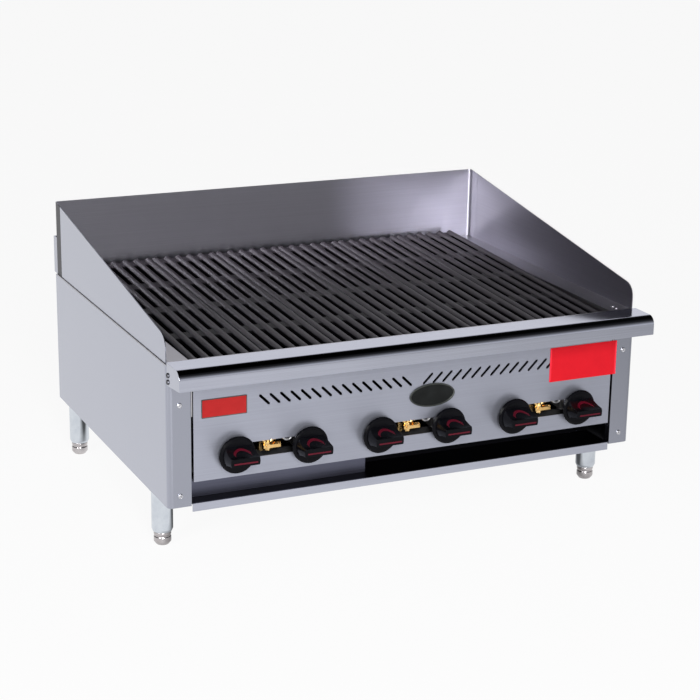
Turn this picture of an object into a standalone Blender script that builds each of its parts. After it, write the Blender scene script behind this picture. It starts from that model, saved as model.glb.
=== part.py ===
"""Countertop radiant charbroiler: six burners under tilted cast grates in a folded sheet body.

Metres, +Z up. The front of the body faces -Y. Pieces are drawn with the front flange plane at
y = 0 and the floor at z = 0, then hang on one empty that centres the footprint on the origin.
"""
import math

import bmesh
import bpy
from mathutils import Matrix, Vector

# Sheet metal and clearances
SHEET = 0.0015
SEAT_GAP = 0.0003
RUNNING_GAP = 0.0004
BEND_STEPS = 5

# Body
BODY_WIDTH = 0.914
BODY_DEPTH = 0.656
SIDE_BOTTOM = 0.1055
SIDE_HEIGHT = 0.2535
SIDE_BEND = 0.009
FLANGE_WIDTH = 0.042
FLANGE_RETURN = 0.015
REAR_RETURN = 0.0095
BASE_FLANGE = 0.057
PAN_RAIL_HEIGHT = 0.0143
PAN_SIDE_GAP = 0.0005
BACK_PANEL_HOLE_GAP = 0.002

# Front rail
RAIL_DEPTH = 0.063
RAIL_RISE = 0.0055
RAIL_HEIGHT = 0.040
RAIL_FACE_BOTTOM = 0.0345
RAIL_NOSE = 0.016
RAIL_LIP = 0.015
RAIL_LIP_WALL = 0.003
NOSE_STEPS = 6

# Ledges and firebox liner
LEDGE_WIDTH = 0.0445
LEDGE_FRONT = 0.018
LEDGE_REAR = 0.0395
FRONT_REST_DROP = 0.0243
FRONT_REST_WIDTH = 0.0155
SHIELD_RUN = 0.078
SHIELD_DROP = 0.071
RADIANT_REST = 0.018
LINER_DROP = 0.2105

# Splashes
SPLASH_HEIGHT = 0.1435
SPLASH_SET_FORWARD = 0.003
SPLASH_RETURN = 0.034
SPLASH_BEND = 0.006
SPLASH_INSET = 0.0015
SIDE_SPLASH_FRONT = 0.0085
SIDE_SPLASH_FRONT_HEIGHT = 0.0455
SIDE_SPLASH_CORNER = 0.026
CHANNEL_DEPTH = 0.020
CHANNEL_HEIGHT = 0.072
CHANNEL_INSET = 0.0035

# Burner line: grates, burners, valves and knobs share one pitch
STATION_COUNT = 6
GRATE_SIDE_GAP = 0.0087

# Grates
GRATE_SPACING = 0.0015
GRATE_THICKNESS = 0.020
GRATE_FRONT_GAP = 0.002
GRATE_REAR_GAP = 0.023
SLOT_COLUMNS = 5
SLOT_ROWS = 4
SLOT_WIDTH = 0.0098
SLOT_RIB = 0.039
SLOT_FRONT_MARGIN = 0.010
SLOT_REAR_MARGIN = 0.038
SLOT_END_STEPS = 2

# Radiants
RADIANT_SPACING = 0.0186
RADIANT_FOOT = 0.010
RADIANT_RISE = 0.034
RADIANT_WALL = 0.0025
RADIANT_END_GAP = 0.001

# Burners
VALVE_HEIGHT = 0.192
BURNER_RADIUS = 0.018
BURNER_WALL = 0.003
BURNER_THROAT_RADIUS = 0.013
BURNER_BELL_RADIUS = 0.021
BURNER_FRONT = 0.086
BURNER_BELL = 0.020
BURNER_NECK = 0.050
BURNER_REAR_GAP = 0.012
BURNER_STEPS = 16
BURNER_REST_INSET = 0.030
BURNER_REST_WIDTH = 0.023
BURNER_REST_DROP = 0.022

# Gas line
PIPE_RADIUS = 0.01335
PIPE_BORE_RADIUS = 0.0104
PIPE_STEPS = 20
MANIFOLD_Y = 0.048
MANIFOLD_DROP = 0.034
INLET_INSET = 0.024
INLET_BORE_DEPTH = 0.016
INLET_NUT_RADIUS = 0.019
INLET_NUT_LENGTH = 0.014

# Gas valves
VALVE_BODY = 0.028
VALVE_BODY_FRONT = 0.030
VALVE_BODY_REAR = 0.066
VALVE_NECK_RADIUS = 0.009
VALVE_NOSE_RADIUS = 0.009
VALVE_NOSE_LENGTH = 0.011
VALVE_HOOD_RADIUS = 0.0075
VALVE_HOOD_REACH = 0.007
VALVE_STEPS = 12

# Knobs
KNOB_STEPS = 26
KNOB_STAND_OFF = 0.006
KNOB_RADIUS = 0.0335
KNOB_BACK_RADIUS = 0.0275
KNOB_SKIRT = 0.012
KNOB_SKIRT_EDGE = 0.003
KNOB_GRIP_LENGTH = 0.036
KNOB_GRIP_RADIUS = 0.0265
KNOB_GRIP_BASE_RADIUS = 0.0285
KNOB_SHOULDER = 0.001
KNOB_BAR_FRONT = 0.007
KNOB_BAR_BASE = 0.0175
KNOB_SCOOP_STEPS = 5
STEM_RADIUS = 0.004
STEM_ENGAGEMENT = 0.008
STEM_HOLE_RADIUS = 0.007

# Control panel
PANEL_SIDE_GAP = 0.0045
PANEL_BOTTOM = 0.0425
PANEL_TOP_GAP = 0.016
PANEL_RETURN = 0.010
VENT_COUNT = 15
VENT_BADGE_SLOTS = 1
VENT_FIRST = 0.011
VENT_END_MARGIN = 0.1333
VENT_HEIGHT = 0.0212
VENT_LEAN = 0.0165
VENT_WIDTH = 0.0048
VENT_CENTRE_HEIGHT = 0.1745
WINDOW_KNOB_MARGIN = 0.0223
WINDOW_HEIGHT = 0.028
HOLE_STEPS = 16

# Pilot valves
PILOT_COUNT = 3
PILOT_BODY_RADIUS = 0.0075
PILOT_BODY_HEIGHT = 0.020
PILOT_STEM_RADIUS = 0.0055
PILOT_LINK_RADIUS = 0.0045
PILOT_ARM_RADIUS = 0.0045
PILOT_ARM_LENGTH = 0.021
PILOT_ARM_ANGLE = math.radians(42)
PILOT_TUBE_RADIUS = 0.0024
PILOT_TUBE_REACH = 0.124
PILOT_TUBE_RISE = 0.012
PILOT_TUBE_SPREAD = 0.030
PILOT_Y = 0.017
PILOT_STEPS = 10

# Drip trays
TRAY_SEAM_OFFSET = 0.075
TRAY_SEAM_GAP = 0.002
TRAY_SIDE_GAP = 0.0025
TRAY_LEFT_FRONT = 0.030
TRAY_RIGHT_FRONT = 0.075
TRAY_REAR_ROOM = 0.033
TRAY_HEIGHT = 0.033
TRAY_LIP = 0.010

# Legs and feet
LEG_SIDE_INSET = 0.0245
LEG_FRONT_Y = 0.105
LEG_REAR_INSET = 0.048
LEG_RADIUS = 0.019
LEG_PLATE_RADIUS = 0.023
LEG_PLATE = 0.003
LEG_TIP_RADIUS = 0.0165
LEG_TIP = 0.006
LEG_STEPS = 20
FOOT_HEIGHT = 0.024
FOOT_RADIUS = 0.0155
FOOT_TOE_RADIUS = 0.011
FOOT_TOE = 0.006
FOOT_STEM_RADIUS = 0.007
FOOT_STEM_LENGTH = 0.045

# Levels and planes that several pieces share
HALF_WIDTH = BODY_WIDTH / 2
INNER_X = HALF_WIDTH - SHEET - SEAT_GAP
FLANGE_X = HALF_WIDTH - FLANGE_WIDTH
SIDE_TOP = SIDE_BOTTOM + SIDE_HEIGHT
LEDGE_TOP = SIDE_TOP + SEAT_GAP + SHEET
ON_LEDGE = LEDGE_TOP + SEAT_GAP
LINER_X = HALF_WIDTH - LEDGE_WIDTH
LINER_INNER_X = LINER_X - SEAT_GAP
STATION_PITCH = 2 * (LINER_X - GRATE_SIDE_GAP) / STATION_COUNT
GRATE_WIDTH = STATION_PITCH - GRATE_SPACING
SLOT_PITCH = (GRATE_WIDTH + SLOT_WIDTH) / (SLOT_COLUMNS + 1)
VENT_PITCH = (FLANGE_X - VENT_FIRST - VENT_END_MARGIN) / (VENT_COUNT - 1)
WINDOW_WIDTH = STATION_PITCH - 2 * WINDOW_KNOB_MARGIN
LEG_X = HALF_WIDTH - LEG_SIDE_INSET
LEG_REAR_Y = BODY_DEPTH - LEG_REAR_INSET
LINER_BOTTOM = LEDGE_TOP - LINER_DROP
PAN_TOP = SIDE_BOTTOM + SHEET + SEAT_GAP + SHEET
RAIL_TOP = LEDGE_TOP + RAIL_RISE
PANEL_Z = SIDE_BOTTOM + PANEL_BOTTOM
PANEL_FRONT = SEAT_GAP
PANEL_BACK = PANEL_FRONT + SHEET
SPLASH_BACK_Y = BODY_DEPTH - SPLASH_SET_FORWARD
SPLASH_FRONT_Y = SPLASH_BACK_Y - SHEET
LEDGE_REAR_END = SPLASH_FRONT_Y - SEAT_GAP
LINER_REAR_Y = LEDGE_REAR_END - LEDGE_REAR
FRONT_REST_Z = LEDGE_TOP - FRONT_REST_DROP
STEP_Y = SEAT_GAP + LEDGE_FRONT
SHIELD_Y = STEP_Y + FRONT_REST_WIDTH
RADIANT_REST_Y = SHIELD_Y + SHIELD_RUN
RADIANT_REST_Z = FRONT_REST_Z - SHIELD_DROP
BACK_PANEL_Y = BODY_DEPTH - SHEET - SEAT_GAP
MANIFOLD_Z = VALVE_HEIGHT - MANIFOLD_DROP
INLET_X = HALF_WIDTH - INLET_INSET
REAR_END = BODY_DEPTH + SEAT_GAP + CHANNEL_DEPTH
PART_Y = (RAIL_DEPTH - REAR_END) / 2

XZ_PLANE = Matrix.Rotation(math.radians(90), 4, "X")
YZ_PLANE = Matrix(((0, 0, 1, 0), (1, 0, 0, 0), (0, 1, 0, 0), (0, 0, 0, 1)))
XY_PLANE = Matrix.Identity(4)


def start_scene():
    """Empties the scene and makes the two collections and the empty that carries every piece."""
    for old in list(bpy.data.objects):
        bpy.data.objects.remove(old)
    parts = bpy.data.collections.new("charbroiler")
    cutters = bpy.data.collections.new("cutters")
    for collection in (parts, cutters):
        bpy.context.scene.collection.children.link(collection)
    carrier = bpy.data.objects.new("charbroiler_footprint", None)
    carrier.location.y = PART_Y
    parts.objects.link(carrier)
    return parts, cutters, carrier


PARTS, CUTTERS, CARRIER = start_scene()


def finish(name, colour, roughness, metallic):
    """Material with one Principled shader."""
    material = bpy.data.materials.new(name)
    material.use_nodes = True
    shader = material.node_tree.nodes["Principled BSDF"]
    shader.inputs["Base Color"].default_value = (*colour, 1)
    shader.inputs["Roughness"].default_value = roughness
    shader.inputs["Metallic"].default_value = metallic
    material.diffuse_color = (*colour, 1)
    return material


STAINLESS = finish("brushed_stainless", (0.56, 0.57, 0.60), 0.32, 1.0)
SPLASH_STEEL = finish("splash_stainless", (0.46, 0.46, 0.50), 0.28, 1.0)
LINER_STEEL = finish("liner_steel", (0.30, 0.30, 0.32), 0.5, 1.0)
CAST_IRON = finish("black_cast_iron", (0.035, 0.034, 0.036), 0.55, 0.6)
BURNER_IRON = finish("burner_iron", (0.09, 0.085, 0.085), 0.65, 0.6)
RADIANT_STEEL = finish("radiant_steel", (0.16, 0.155, 0.16), 0.6, 0.8)
GAS_PIPE = finish("black_pipe", (0.05, 0.05, 0.055), 0.5, 0.5)
VALVE_METAL = finish("valve_metal", (0.42, 0.41, 0.40), 0.42, 1.0)
BRASS = finish("brass", (0.72, 0.50, 0.20), 0.28, 1.0)
KNOB_PLASTIC = finish("gloss_black_plastic", (0.012, 0.012, 0.014), 0.2, 0.0)
LEG_PLATED = finish("plated_leg", (0.62, 0.64, 0.68), 0.2, 1.0)
FOOT_METAL = finish("foot_metal", (0.34, 0.31, 0.29), 0.35, 1.0)
TRAY_STEEL = finish("tray_steel", (0.36, 0.37, 0.41), 0.4, 1.0)


def tidy(mesh):
    """Welds the seams of a mesh and turns its faces outwards."""
    bm = bmesh.new()
    bm.from_mesh(mesh)
    bmesh.ops.remove_doubles(bm, verts=bm.verts, dist=0.00001)
    bmesh.ops.recalc_face_normals(bm, faces=bm.faces)
    bm.to_mesh(mesh)
    bm.free()
    return mesh


def evaluated_mesh(obj):
    """Mesh of an object with its modifiers applied; the object is removed."""
    graph = bpy.context.evaluated_depsgraph_get()
    mesh = bpy.data.meshes.new_from_object(obj.evaluated_get(graph))
    mesh.transform(obj.matrix_world)
    bpy.data.objects.remove(obj)
    return tidy(mesh)


def place(name, mesh, material, location=(0, 0, 0), tilt=0.0):
    """Puts a mesh into the assembly as a named piece, turned by tilt about X."""
    obj = bpy.data.objects.new(name, mesh)
    PARTS.objects.link(obj)
    obj.parent = CARRIER
    obj.location = location
    obj.rotation_euler.x = tilt
    if not mesh.materials:
        mesh.materials.append(material)
    mesh.shade_smooth()
    mesh.set_sharp_from_angle(angle=math.radians(32))
    return obj


def guide(name, mesh):
    """Wire object that a Boolean reads and a render leaves out."""
    obj = bpy.data.objects.new(name, mesh)
    CUTTERS.objects.link(obj)
    obj.parent = CARRIER
    obj.hide_render = True
    obj.display_type = "WIRE"
    return obj


def combine(obj, helper, operation):
    """Adds a Boolean modifier that joins or cuts with a guide object."""
    modifier = obj.modifiers.new(helper.name, "BOOLEAN")
    modifier.operation = operation
    modifier.object = helper
    modifier.solver = "EXACT"


def joined(meshes):
    """One mesh with the Boolean union of overlapping closed meshes."""
    base = bpy.data.objects.new("union_base", meshes[0])
    PARTS.objects.link(base)
    helpers = []
    for index, mesh in enumerate(meshes[1:]):
        helper = bpy.data.objects.new("union_%d" % index, mesh)
        CUTTERS.objects.link(helper)
        helpers.append(helper)
        combine(base, helper, "UNION")
    bpy.context.view_layer.update()
    result = evaluated_mesh(base)
    for helper in helpers:
        bpy.data.objects.remove(helper)
    return result


def box_mesh(low, high):
    """Box between two corners."""
    bm = bmesh.new()
    bmesh.ops.create_cube(bm, size=1)
    size = [b - a for a, b in zip(low, high)]
    centre = [(a + b) / 2 for a, b in zip(low, high)]
    bm.transform(Matrix.Translation(centre) @ Matrix.Diagonal((*size, 1)))
    mesh = bpy.data.meshes.new("box")
    bm.to_mesh(mesh)
    bm.free()
    return mesh


def rod_mesh(start, end, radius, steps, end_radius=None):
    """Cylinder or cone between two points."""
    start, end = Vector(start), Vector(end)
    along = end - start
    turn = along.to_track_quat("Z", "Y").to_matrix().to_4x4()
    bm = bmesh.new()
    bmesh.ops.create_cone(bm, cap_ends=True, segments=steps, radius1=radius,
                          radius2=radius if end_radius is None else end_radius, depth=along.length)
    bm.transform(Matrix.Translation((start + end) / 2) @ turn)
    mesh = bpy.data.meshes.new("rod")
    bm.to_mesh(mesh)
    bm.free()
    return mesh


def tube_mesh(points, radius):
    """Round tube with closed ends along a row of points."""
    curve = bpy.data.curves.new("tube", "CURVE")
    curve.dimensions = "3D"
    curve.bevel_depth = radius
    curve.bevel_resolution = 1
    curve.use_fill_caps = True
    spline = curve.splines.new("POLY")
    spline.points.add(len(points) - 1)
    for knot, point in zip(spline.points, points):
        knot.co = (*point, 1)
    obj = bpy.data.objects.new("tube", curve)
    PARTS.objects.link(obj)
    mesh = evaluated_mesh(obj)
    bpy.data.curves.remove(curve)
    return mesh


def plate_mesh(loops, start, stop, plane):
    """Plate from closed outlines in a plane; the first is the edge and the others are holes."""
    curve = bpy.data.curves.new("plate", "CURVE")
    curve.dimensions = "2D"
    curve.fill_mode = "BOTH"
    curve.extrude = (stop - start) / 2
    for loop in loops:
        spline = curve.splines.new("POLY")
        spline.points.add(len(loop) - 1)
        for knot, (u, v) in zip(spline.points, loop):
            knot.co = (u, v, 0, 1)
        spline.use_cyclic_u = True
    obj = bpy.data.objects.new("plate", curve)
    PARTS.objects.link(obj)
    mesh = evaluated_mesh(obj)
    bpy.data.curves.remove(curve)
    middle = (start + stop) / 2
    if plane == XZ_PLANE:
        middle = -middle
    mesh.transform(plane @ Matrix.Translation((0, 0, middle)))
    return mesh


def corner_arc(before, corner, after, radius, steps):
    """Points of the arc that rounds one corner of an outline."""
    before, corner, after = Vector(before), Vector(corner), Vector(after)
    to_before = (before - corner).normalized()
    to_after = (after - corner).normalized()
    half = to_before.angle(to_after) / 2
    centre = corner + (to_before + to_after).normalized() * radius / math.sin(half)
    first = corner + to_before * radius / math.tan(half) - centre
    last = corner + to_after * radius / math.tan(half) - centre
    sweep = first.angle_signed(last)
    return [tuple(centre + Matrix.Rotation(-sweep * step / steps, 2) @ first) for step in range(steps + 1)]


def rounded(points, radii, steps=BEND_STEPS):
    """Outline with the corners named in radii, by index, replaced by arcs."""
    outline = []
    for index, point in enumerate(points):
        if index in radii:
            after = points[(index + 1) % len(points)]
            outline += corner_arc(points[index - 1], point, after, radii[index], steps)
        else:
            outline.append(tuple(point))
    return outline


def rectangle(u0, u1, v0, v1):
    """Corner points of a rectangle."""
    return [(u0, v0), (u1, v0), (u1, v1), (u0, v1)]


def circle(u, v, radius, steps):
    """Points of a circle."""
    turns = [2 * math.pi * step / steps for step in range(steps)]
    return [(u + radius * math.cos(turn), v + radius * math.sin(turn)) for turn in turns]


def round_slot(start, end, width, steps=SLOT_END_STEPS):
    """Outline of a slot with round ends between two centre points."""
    start, end = Vector(start), Vector(end)
    heading = math.atan2(end.y - start.y, end.x - start.x)
    outline = []
    for centre, turn in ((end, heading - math.pi / 2), (start, heading + math.pi / 2)):
        for step in range(steps + 1):
            angle = turn + math.pi * step / steps
            outline.append((centre.x + width / 2 * math.cos(angle), centre.y + width / 2 * math.sin(angle)))
    return outline


def folded(name, profile, start, stop, plane, material, thickness=SHEET):
    """Folded sheet: an open profile drawn out along the plane's normal, thickened to its right."""
    bm = bmesh.new()
    chain = [bm.verts.new((u, v, start)) for u, v in profile]
    edges = [bm.edges.new(pair) for pair in zip(chain, chain[1:])]
    drawn = bmesh.ops.extrude_edge_only(bm, edges=edges)["geom"]
    moved = [item for item in drawn if isinstance(item, bmesh.types.BMVert)]
    bmesh.ops.translate(bm, verts=moved, vec=(0, 0, stop - start))
    bm.normal_update()
    heading = Vector(profile[1]) - Vector(profile[0])
    left = Vector((-heading.y, heading.x, 0))
    first_face = edges[0].link_faces[0]
    if first_face.normal.dot(left) < 0:
        bmesh.ops.reverse_faces(bm, faces=bm.faces)
    bm.transform(plane)
    mesh = bpy.data.meshes.new(name)
    bm.to_mesh(mesh)
    bm.free()
    obj = place(name, mesh, material)
    wall = obj.modifiers.new("sheet", "SOLIDIFY")
    wall.thickness = thickness
    wall.offset = -1
    wall.use_even_offset = True
    return obj


def turned_mesh(profile, steps):
    """Body turned about Z from a profile of (radius, height) that runs down its outer side."""
    mesh = bpy.data.meshes.new("turned")
    mesh.from_pydata([(radius, 0, height) for radius, height in profile],
                     [(index, index + 1) for index in range(len(profile) - 1)], [])
    obj = bpy.data.objects.new("turned", mesh)
    PARTS.objects.link(obj)
    screw = obj.modifiers.new("turn", "SCREW")
    screw.steps = steps
    screw.render_steps = steps
    screw.use_merge_vertices = True
    screw.merge_threshold = 0.00001
    return evaluated_mesh(obj)


def station_x(index):
    """Centre of one burner station across the body."""
    return (index - (STATION_COUNT - 1) / 2) * STATION_PITCH


def pilot_x(index):
    """Centre of one pilot valve, between the two knobs that it serves."""
    return (station_x(2 * index) + station_x(2 * index + 1)) / 2


def build_sides():
    """Side panels: skin with a round front bend, front flange, rear return and base flange."""
    for name, side in (("side_panel_left", -1), ("side_panel_right", 1)):
        plan = [(side * FLANGE_X, FLANGE_RETURN), (side * FLANGE_X, 0), (side * HALF_WIDTH, 0),
                (side * HALF_WIDTH, BODY_DEPTH), (side * (HALF_WIDTH - REAR_RETURN), BODY_DEPTH)]
        plan = rounded(plan, {2: SIDE_BEND})
        if side > 0:
            plan = plan[::-1]
        skin = folded("side_skin", plan, SIDE_BOTTOM, SIDE_TOP, XY_PLANE, STAINLESS)
        skin.parent = None
        bpy.context.view_layer.update()
        skin_mesh = evaluated_mesh(skin)
        edge = side * (HALF_WIDTH - BASE_FLANGE)
        wall = side * (HALF_WIDTH - SHEET / 2)
        flange = box_mesh((min(edge, wall), SIDE_BEND, SIDE_BOTTOM),
                          (max(edge, wall), BODY_DEPTH - SHEET / 2, SIDE_BOTTOM + SHEET))
        place(name, joined([skin_mesh, flange]), STAINLESS)


def build_back_and_base():
    """Back panel with the gas pipe's hole, the base pan with its front rail, the rear channel."""
    edge = rectangle(-INNER_X, INNER_X, PAN_TOP + SEAT_GAP, SIDE_TOP - SEAT_GAP)
    hole = circle(INLET_X, MANIFOLD_Z, PIPE_RADIUS + BACK_PANEL_HOLE_GAP, HOLE_STEPS)
    panel = plate_mesh([edge, hole], BACK_PANEL_Y - SHEET, BACK_PANEL_Y, XZ_PLANE)
    place("back_panel", panel, STAINLESS)

    half = FLANGE_X - PAN_SIDE_GAP - SHEET
    profile = [(PANEL_FRONT, PAN_TOP - PAN_RAIL_HEIGHT), (PANEL_FRONT, PAN_TOP),
               (BACK_PANEL_Y, PAN_TOP)]
    folded("bottom_pan", profile, -half, half, YZ_PLANE, STAINLESS)

    x = HALF_WIDTH - CHANNEL_INSET
    near = SPLASH_BACK_Y + SEAT_GAP
    plan = [(-x, near), (-x, REAR_END), (x, REAR_END), (x, near)]
    base = SIDE_TOP + SEAT_GAP
    folded("rear_channel", plan, base, base + CHANNEL_HEIGHT, XY_PLANE, STAINLESS)


def build_rail():
    """Front rail: hollow bull-nosed bar, open below, with closed ends."""
    back = -SEAT_GAP
    low = RAIL_TOP - RAIL_HEIGHT
    face_low = RAIL_TOP - RAIL_FACE_BOTTOM
    outer = [(back, low), (-RAIL_DEPTH + RAIL_LIP_WALL, face_low - RAIL_LIP_WALL),
             (-RAIL_DEPTH, face_low), (-RAIL_DEPTH, RAIL_TOP), (back, RAIL_TOP)]
    outer = rounded(outer, {3: RAIL_NOSE}, NOSE_STEPS)
    bar = plate_mesh([outer], -HALF_WIDTH, HALF_WIDTH, YZ_PLANE)
    below = low - SHEET
    lip = face_low + RAIL_LIP_WALL / 2
    inner = [(back - SHEET, below), (-RAIL_DEPTH + RAIL_LIP, below), (-RAIL_DEPTH + RAIL_LIP, lip),
             (-RAIL_DEPTH + SHEET, lip), (-RAIL_DEPTH + SHEET, RAIL_TOP - SHEET),
             (back - SHEET, RAIL_TOP - SHEET)]
    inner = rounded(inner, {4: RAIL_NOSE - SHEET}, NOSE_STEPS)
    half = HALF_WIDTH - SHEET
    rail = place("front_rail", bar, STAINLESS)
    combine(rail, guide("rail_hollow", plate_mesh([inner], -half, half, YZ_PLANE)), "DIFFERENCE")


def build_liner():
    """Firebox liner: side ledges and walls, the stepped front with its heat shield, the rear ledge."""
    for name, side in (("liner_left", -1), ("liner_right", 1)):
        profile = [(side * HALF_WIDTH, LEDGE_TOP), (side * LINER_X, LEDGE_TOP),
                   (side * LINER_X, LINER_BOTTOM)]
        if side > 0:
            profile = profile[::-1]
        wall = folded(name, profile, -LEDGE_REAR_END, -SEAT_GAP, XZ_PLANE, LINER_STEEL)
        outer = side * (LINER_X + LEDGE_WIDTH)
        inner = side * LINER_INNER_X
        notch = box_mesh((min(outer, inner), -SHEET, LINER_BOTTOM - SHEET),
                         (max(outer, inner), RADIANT_REST_Y, RADIANT_REST_Z))
        combine(wall, guide(name + "_notch", notch), "DIFFERENCE")
    front = [(SEAT_GAP, LEDGE_TOP), (STEP_Y, LEDGE_TOP), (STEP_Y, FRONT_REST_Z), (SHIELD_Y, FRONT_REST_Z),
             (RADIANT_REST_Y, RADIANT_REST_Z), (RADIANT_REST_Y + RADIANT_REST, RADIANT_REST_Z)]
    folded("liner_front", front, -LINER_INNER_X, LINER_INNER_X, YZ_PLANE, LINER_STEEL)
    rear = [(LINER_REAR_Y - RADIANT_REST, RADIANT_REST_Z), (LINER_REAR_Y, RADIANT_REST_Z),
            (LINER_REAR_Y, LEDGE_TOP), (LEDGE_REAR_END, LEDGE_TOP)]
    folded("liner_rear", rear, -LINER_INNER_X, LINER_INNER_X, YZ_PLANE, LINER_STEEL)


def build_splashes():
    """Rear splash with forward returns, and the two side splashes; one slope runs down over all of them."""
    x = HALF_WIDTH - SPLASH_INSET
    near = SPLASH_BACK_Y - SPLASH_RETURN
    brow = SPLASH_BACK_Y - SPLASH_BEND
    top = ON_LEDGE + SPLASH_HEIGHT
    low = ON_LEDGE + SIDE_SPLASH_FRONT_HEIGHT
    plan = [(-x, near), (-x, SPLASH_BACK_Y), (x, SPLASH_BACK_Y), (x, near)]
    plan = rounded(plan, {1: SPLASH_BEND, 2: SPLASH_BEND})
    rear = folded("splash_back", plan, ON_LEDGE, top, XY_PLANE, SPLASH_STEEL)
    clear = top + SPLASH_BEND
    above = [(SIDE_SPLASH_FRONT, low), (brow, top), (brow, clear), (SIDE_SPLASH_FRONT, clear)]
    combine(rear, guide("splash_slope", plate_mesh([above], -HALF_WIDTH, HALF_WIDTH, YZ_PLANE)), "DIFFERENCE")

    seam = near - SEAT_GAP
    seam_top = low + (top - low) * (seam - SIDE_SPLASH_FRONT) / (brow - SIDE_SPLASH_FRONT)
    outline = [(SIDE_SPLASH_FRONT, ON_LEDGE), (seam, ON_LEDGE), (seam, seam_top), (SIDE_SPLASH_FRONT, low)]
    outline = rounded(outline, {3: SIDE_SPLASH_CORNER}, NOSE_STEPS)
    for name, side in (("splash_left", -1), ("splash_right", 1)):
        faces = sorted((side * x, side * (x - SHEET)))
        place(name, plate_mesh([outline], *faces, YZ_PLANE), SPLASH_STEEL)


def grate_slots(length):
    """Slots of one grate, column by column, in the grate's own plane."""
    room = length - SLOT_FRONT_MARGIN - SLOT_REAR_MARGIN - (SLOT_ROWS - 1) * SLOT_RIB
    slot = room / SLOT_ROWS
    loops = []
    for column in range(SLOT_COLUMNS):
        u = (column - (SLOT_COLUMNS - 1) / 2) * SLOT_PITCH
        for row in range(SLOT_ROWS):
            v = SLOT_FRONT_MARGIN + row * (slot + SLOT_RIB)
            loops.append(round_slot((u, v + SLOT_WIDTH / 2), (u, v + slot - SLOT_WIDTH / 2), SLOT_WIDTH))
    return loops


def build_grates():
    """Cast grates that rest on the front step and the rear ledge, tilted down to the front."""
    front_y = STEP_Y + GRATE_FRONT_GAP
    rise = LEDGE_TOP - FRONT_REST_Z
    tilt = math.atan2(rise, LINER_REAR_Y - front_y)
    length = (LEDGE_REAR_END - GRATE_REAR_GAP - front_y) / math.cos(tilt)
    half = GRATE_WIDTH / 2
    loops = [rectangle(-half, half, 0, length)] + grate_slots(length)
    slab = plate_mesh(loops, 0, GRATE_THICKNESS, XY_PLANE)
    underside = FRONT_REST_Z + SEAT_GAP
    for index in range(STATION_COUNT):
        place("grate_%d" % (index + 1), slab, CAST_IRON, (station_x(index), front_y, underside), tilt)


def build_radiants():
    """Roof-shaped sheet radiants between the front and rear rests."""
    half = (STATION_PITCH - RADIANT_SPACING) / 2
    base = RADIANT_REST_Z + SEAT_GAP + RADIANT_WALL
    roof = [(-half, base), (-half + RADIANT_FOOT, base), (0, base + RADIANT_RISE),
            (half - RADIANT_FOOT, base), (half, base)]
    start = RADIANT_REST_Y + RADIANT_END_GAP
    stop = LINER_REAR_Y - SHEET - RADIANT_END_GAP
    for index in range(STATION_COUNT):
        piece = folded("radiant_%d" % (index + 1), roof, -stop, -start, XZ_PLANE, RADIANT_STEEL, RADIANT_WALL)
        piece.location.x = station_x(index)


def build_burners():
    """Straight tube burners with a bell mouth, and the bar under their rear ends."""
    rear = LINER_REAR_Y - SHEET - BURNER_REAR_GAP
    neck = BURNER_FRONT + BURNER_BELL
    barrel = neck + BURNER_NECK
    bore = BURNER_THROAT_RADIUS - BURNER_WALL
    profile = [(0, -BURNER_FRONT - BURNER_BELL), (bore, -BURNER_FRONT - BURNER_BELL),
               (BURNER_BELL_RADIUS - BURNER_WALL, -BURNER_FRONT), (BURNER_BELL_RADIUS, -BURNER_FRONT),
               (BURNER_THROAT_RADIUS, -neck), (BURNER_RADIUS, -barrel), (BURNER_RADIUS, -rear + BURNER_WALL),
               (BURNER_RADIUS - BURNER_WALL, -rear), (0, -rear)]
    mesh = turned_mesh(profile, BURNER_STEPS)
    mesh.transform(XZ_PLANE)
    for index in range(STATION_COUNT):
        place("burner_%d" % (index + 1), mesh, BURNER_IRON, (station_x(index), 0, VALVE_HEIGHT))

    under = VALVE_HEIGHT - BURNER_RADIUS - SEAT_GAP
    bar_y = rear - BURNER_REST_INSET
    angle = [(bar_y, under - BURNER_REST_DROP), (bar_y, under), (bar_y + BURNER_REST_WIDTH, under)]
    folded("burner_rest", angle, -LINER_INNER_X, LINER_INNER_X, YZ_PLANE, LINER_STEEL)


def build_gas_line():
    """Manifold across the front and the inlet pipe that runs back along the right side."""
    left_end = (-INNER_X, MANIFOLD_Y, MANIFOLD_Z)
    right_end = (INNER_X, MANIFOLD_Y, MANIFOLD_Z)
    place("manifold_pipe", rod_mesh(left_end, right_end, PIPE_RADIUS, PIPE_STEPS), GAS_PIPE)
    start = MANIFOLD_Y + PIPE_RADIUS + SEAT_GAP
    nut = REAR_END - INLET_NUT_LENGTH
    profile = [(0, -start), (PIPE_RADIUS, -start), (PIPE_RADIUS, -nut), (INLET_NUT_RADIUS, -nut),
               (INLET_NUT_RADIUS, -REAR_END), (PIPE_BORE_RADIUS, -REAR_END),
               (PIPE_BORE_RADIUS, -REAR_END + INLET_BORE_DEPTH), (0, -REAR_END + INLET_BORE_DEPTH)]
    inlet = turned_mesh(profile, PIPE_STEPS)
    inlet.transform(XZ_PLANE)
    place("gas_inlet", inlet, GAS_PIPE, (INLET_X, 0, MANIFOLD_Z))


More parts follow.
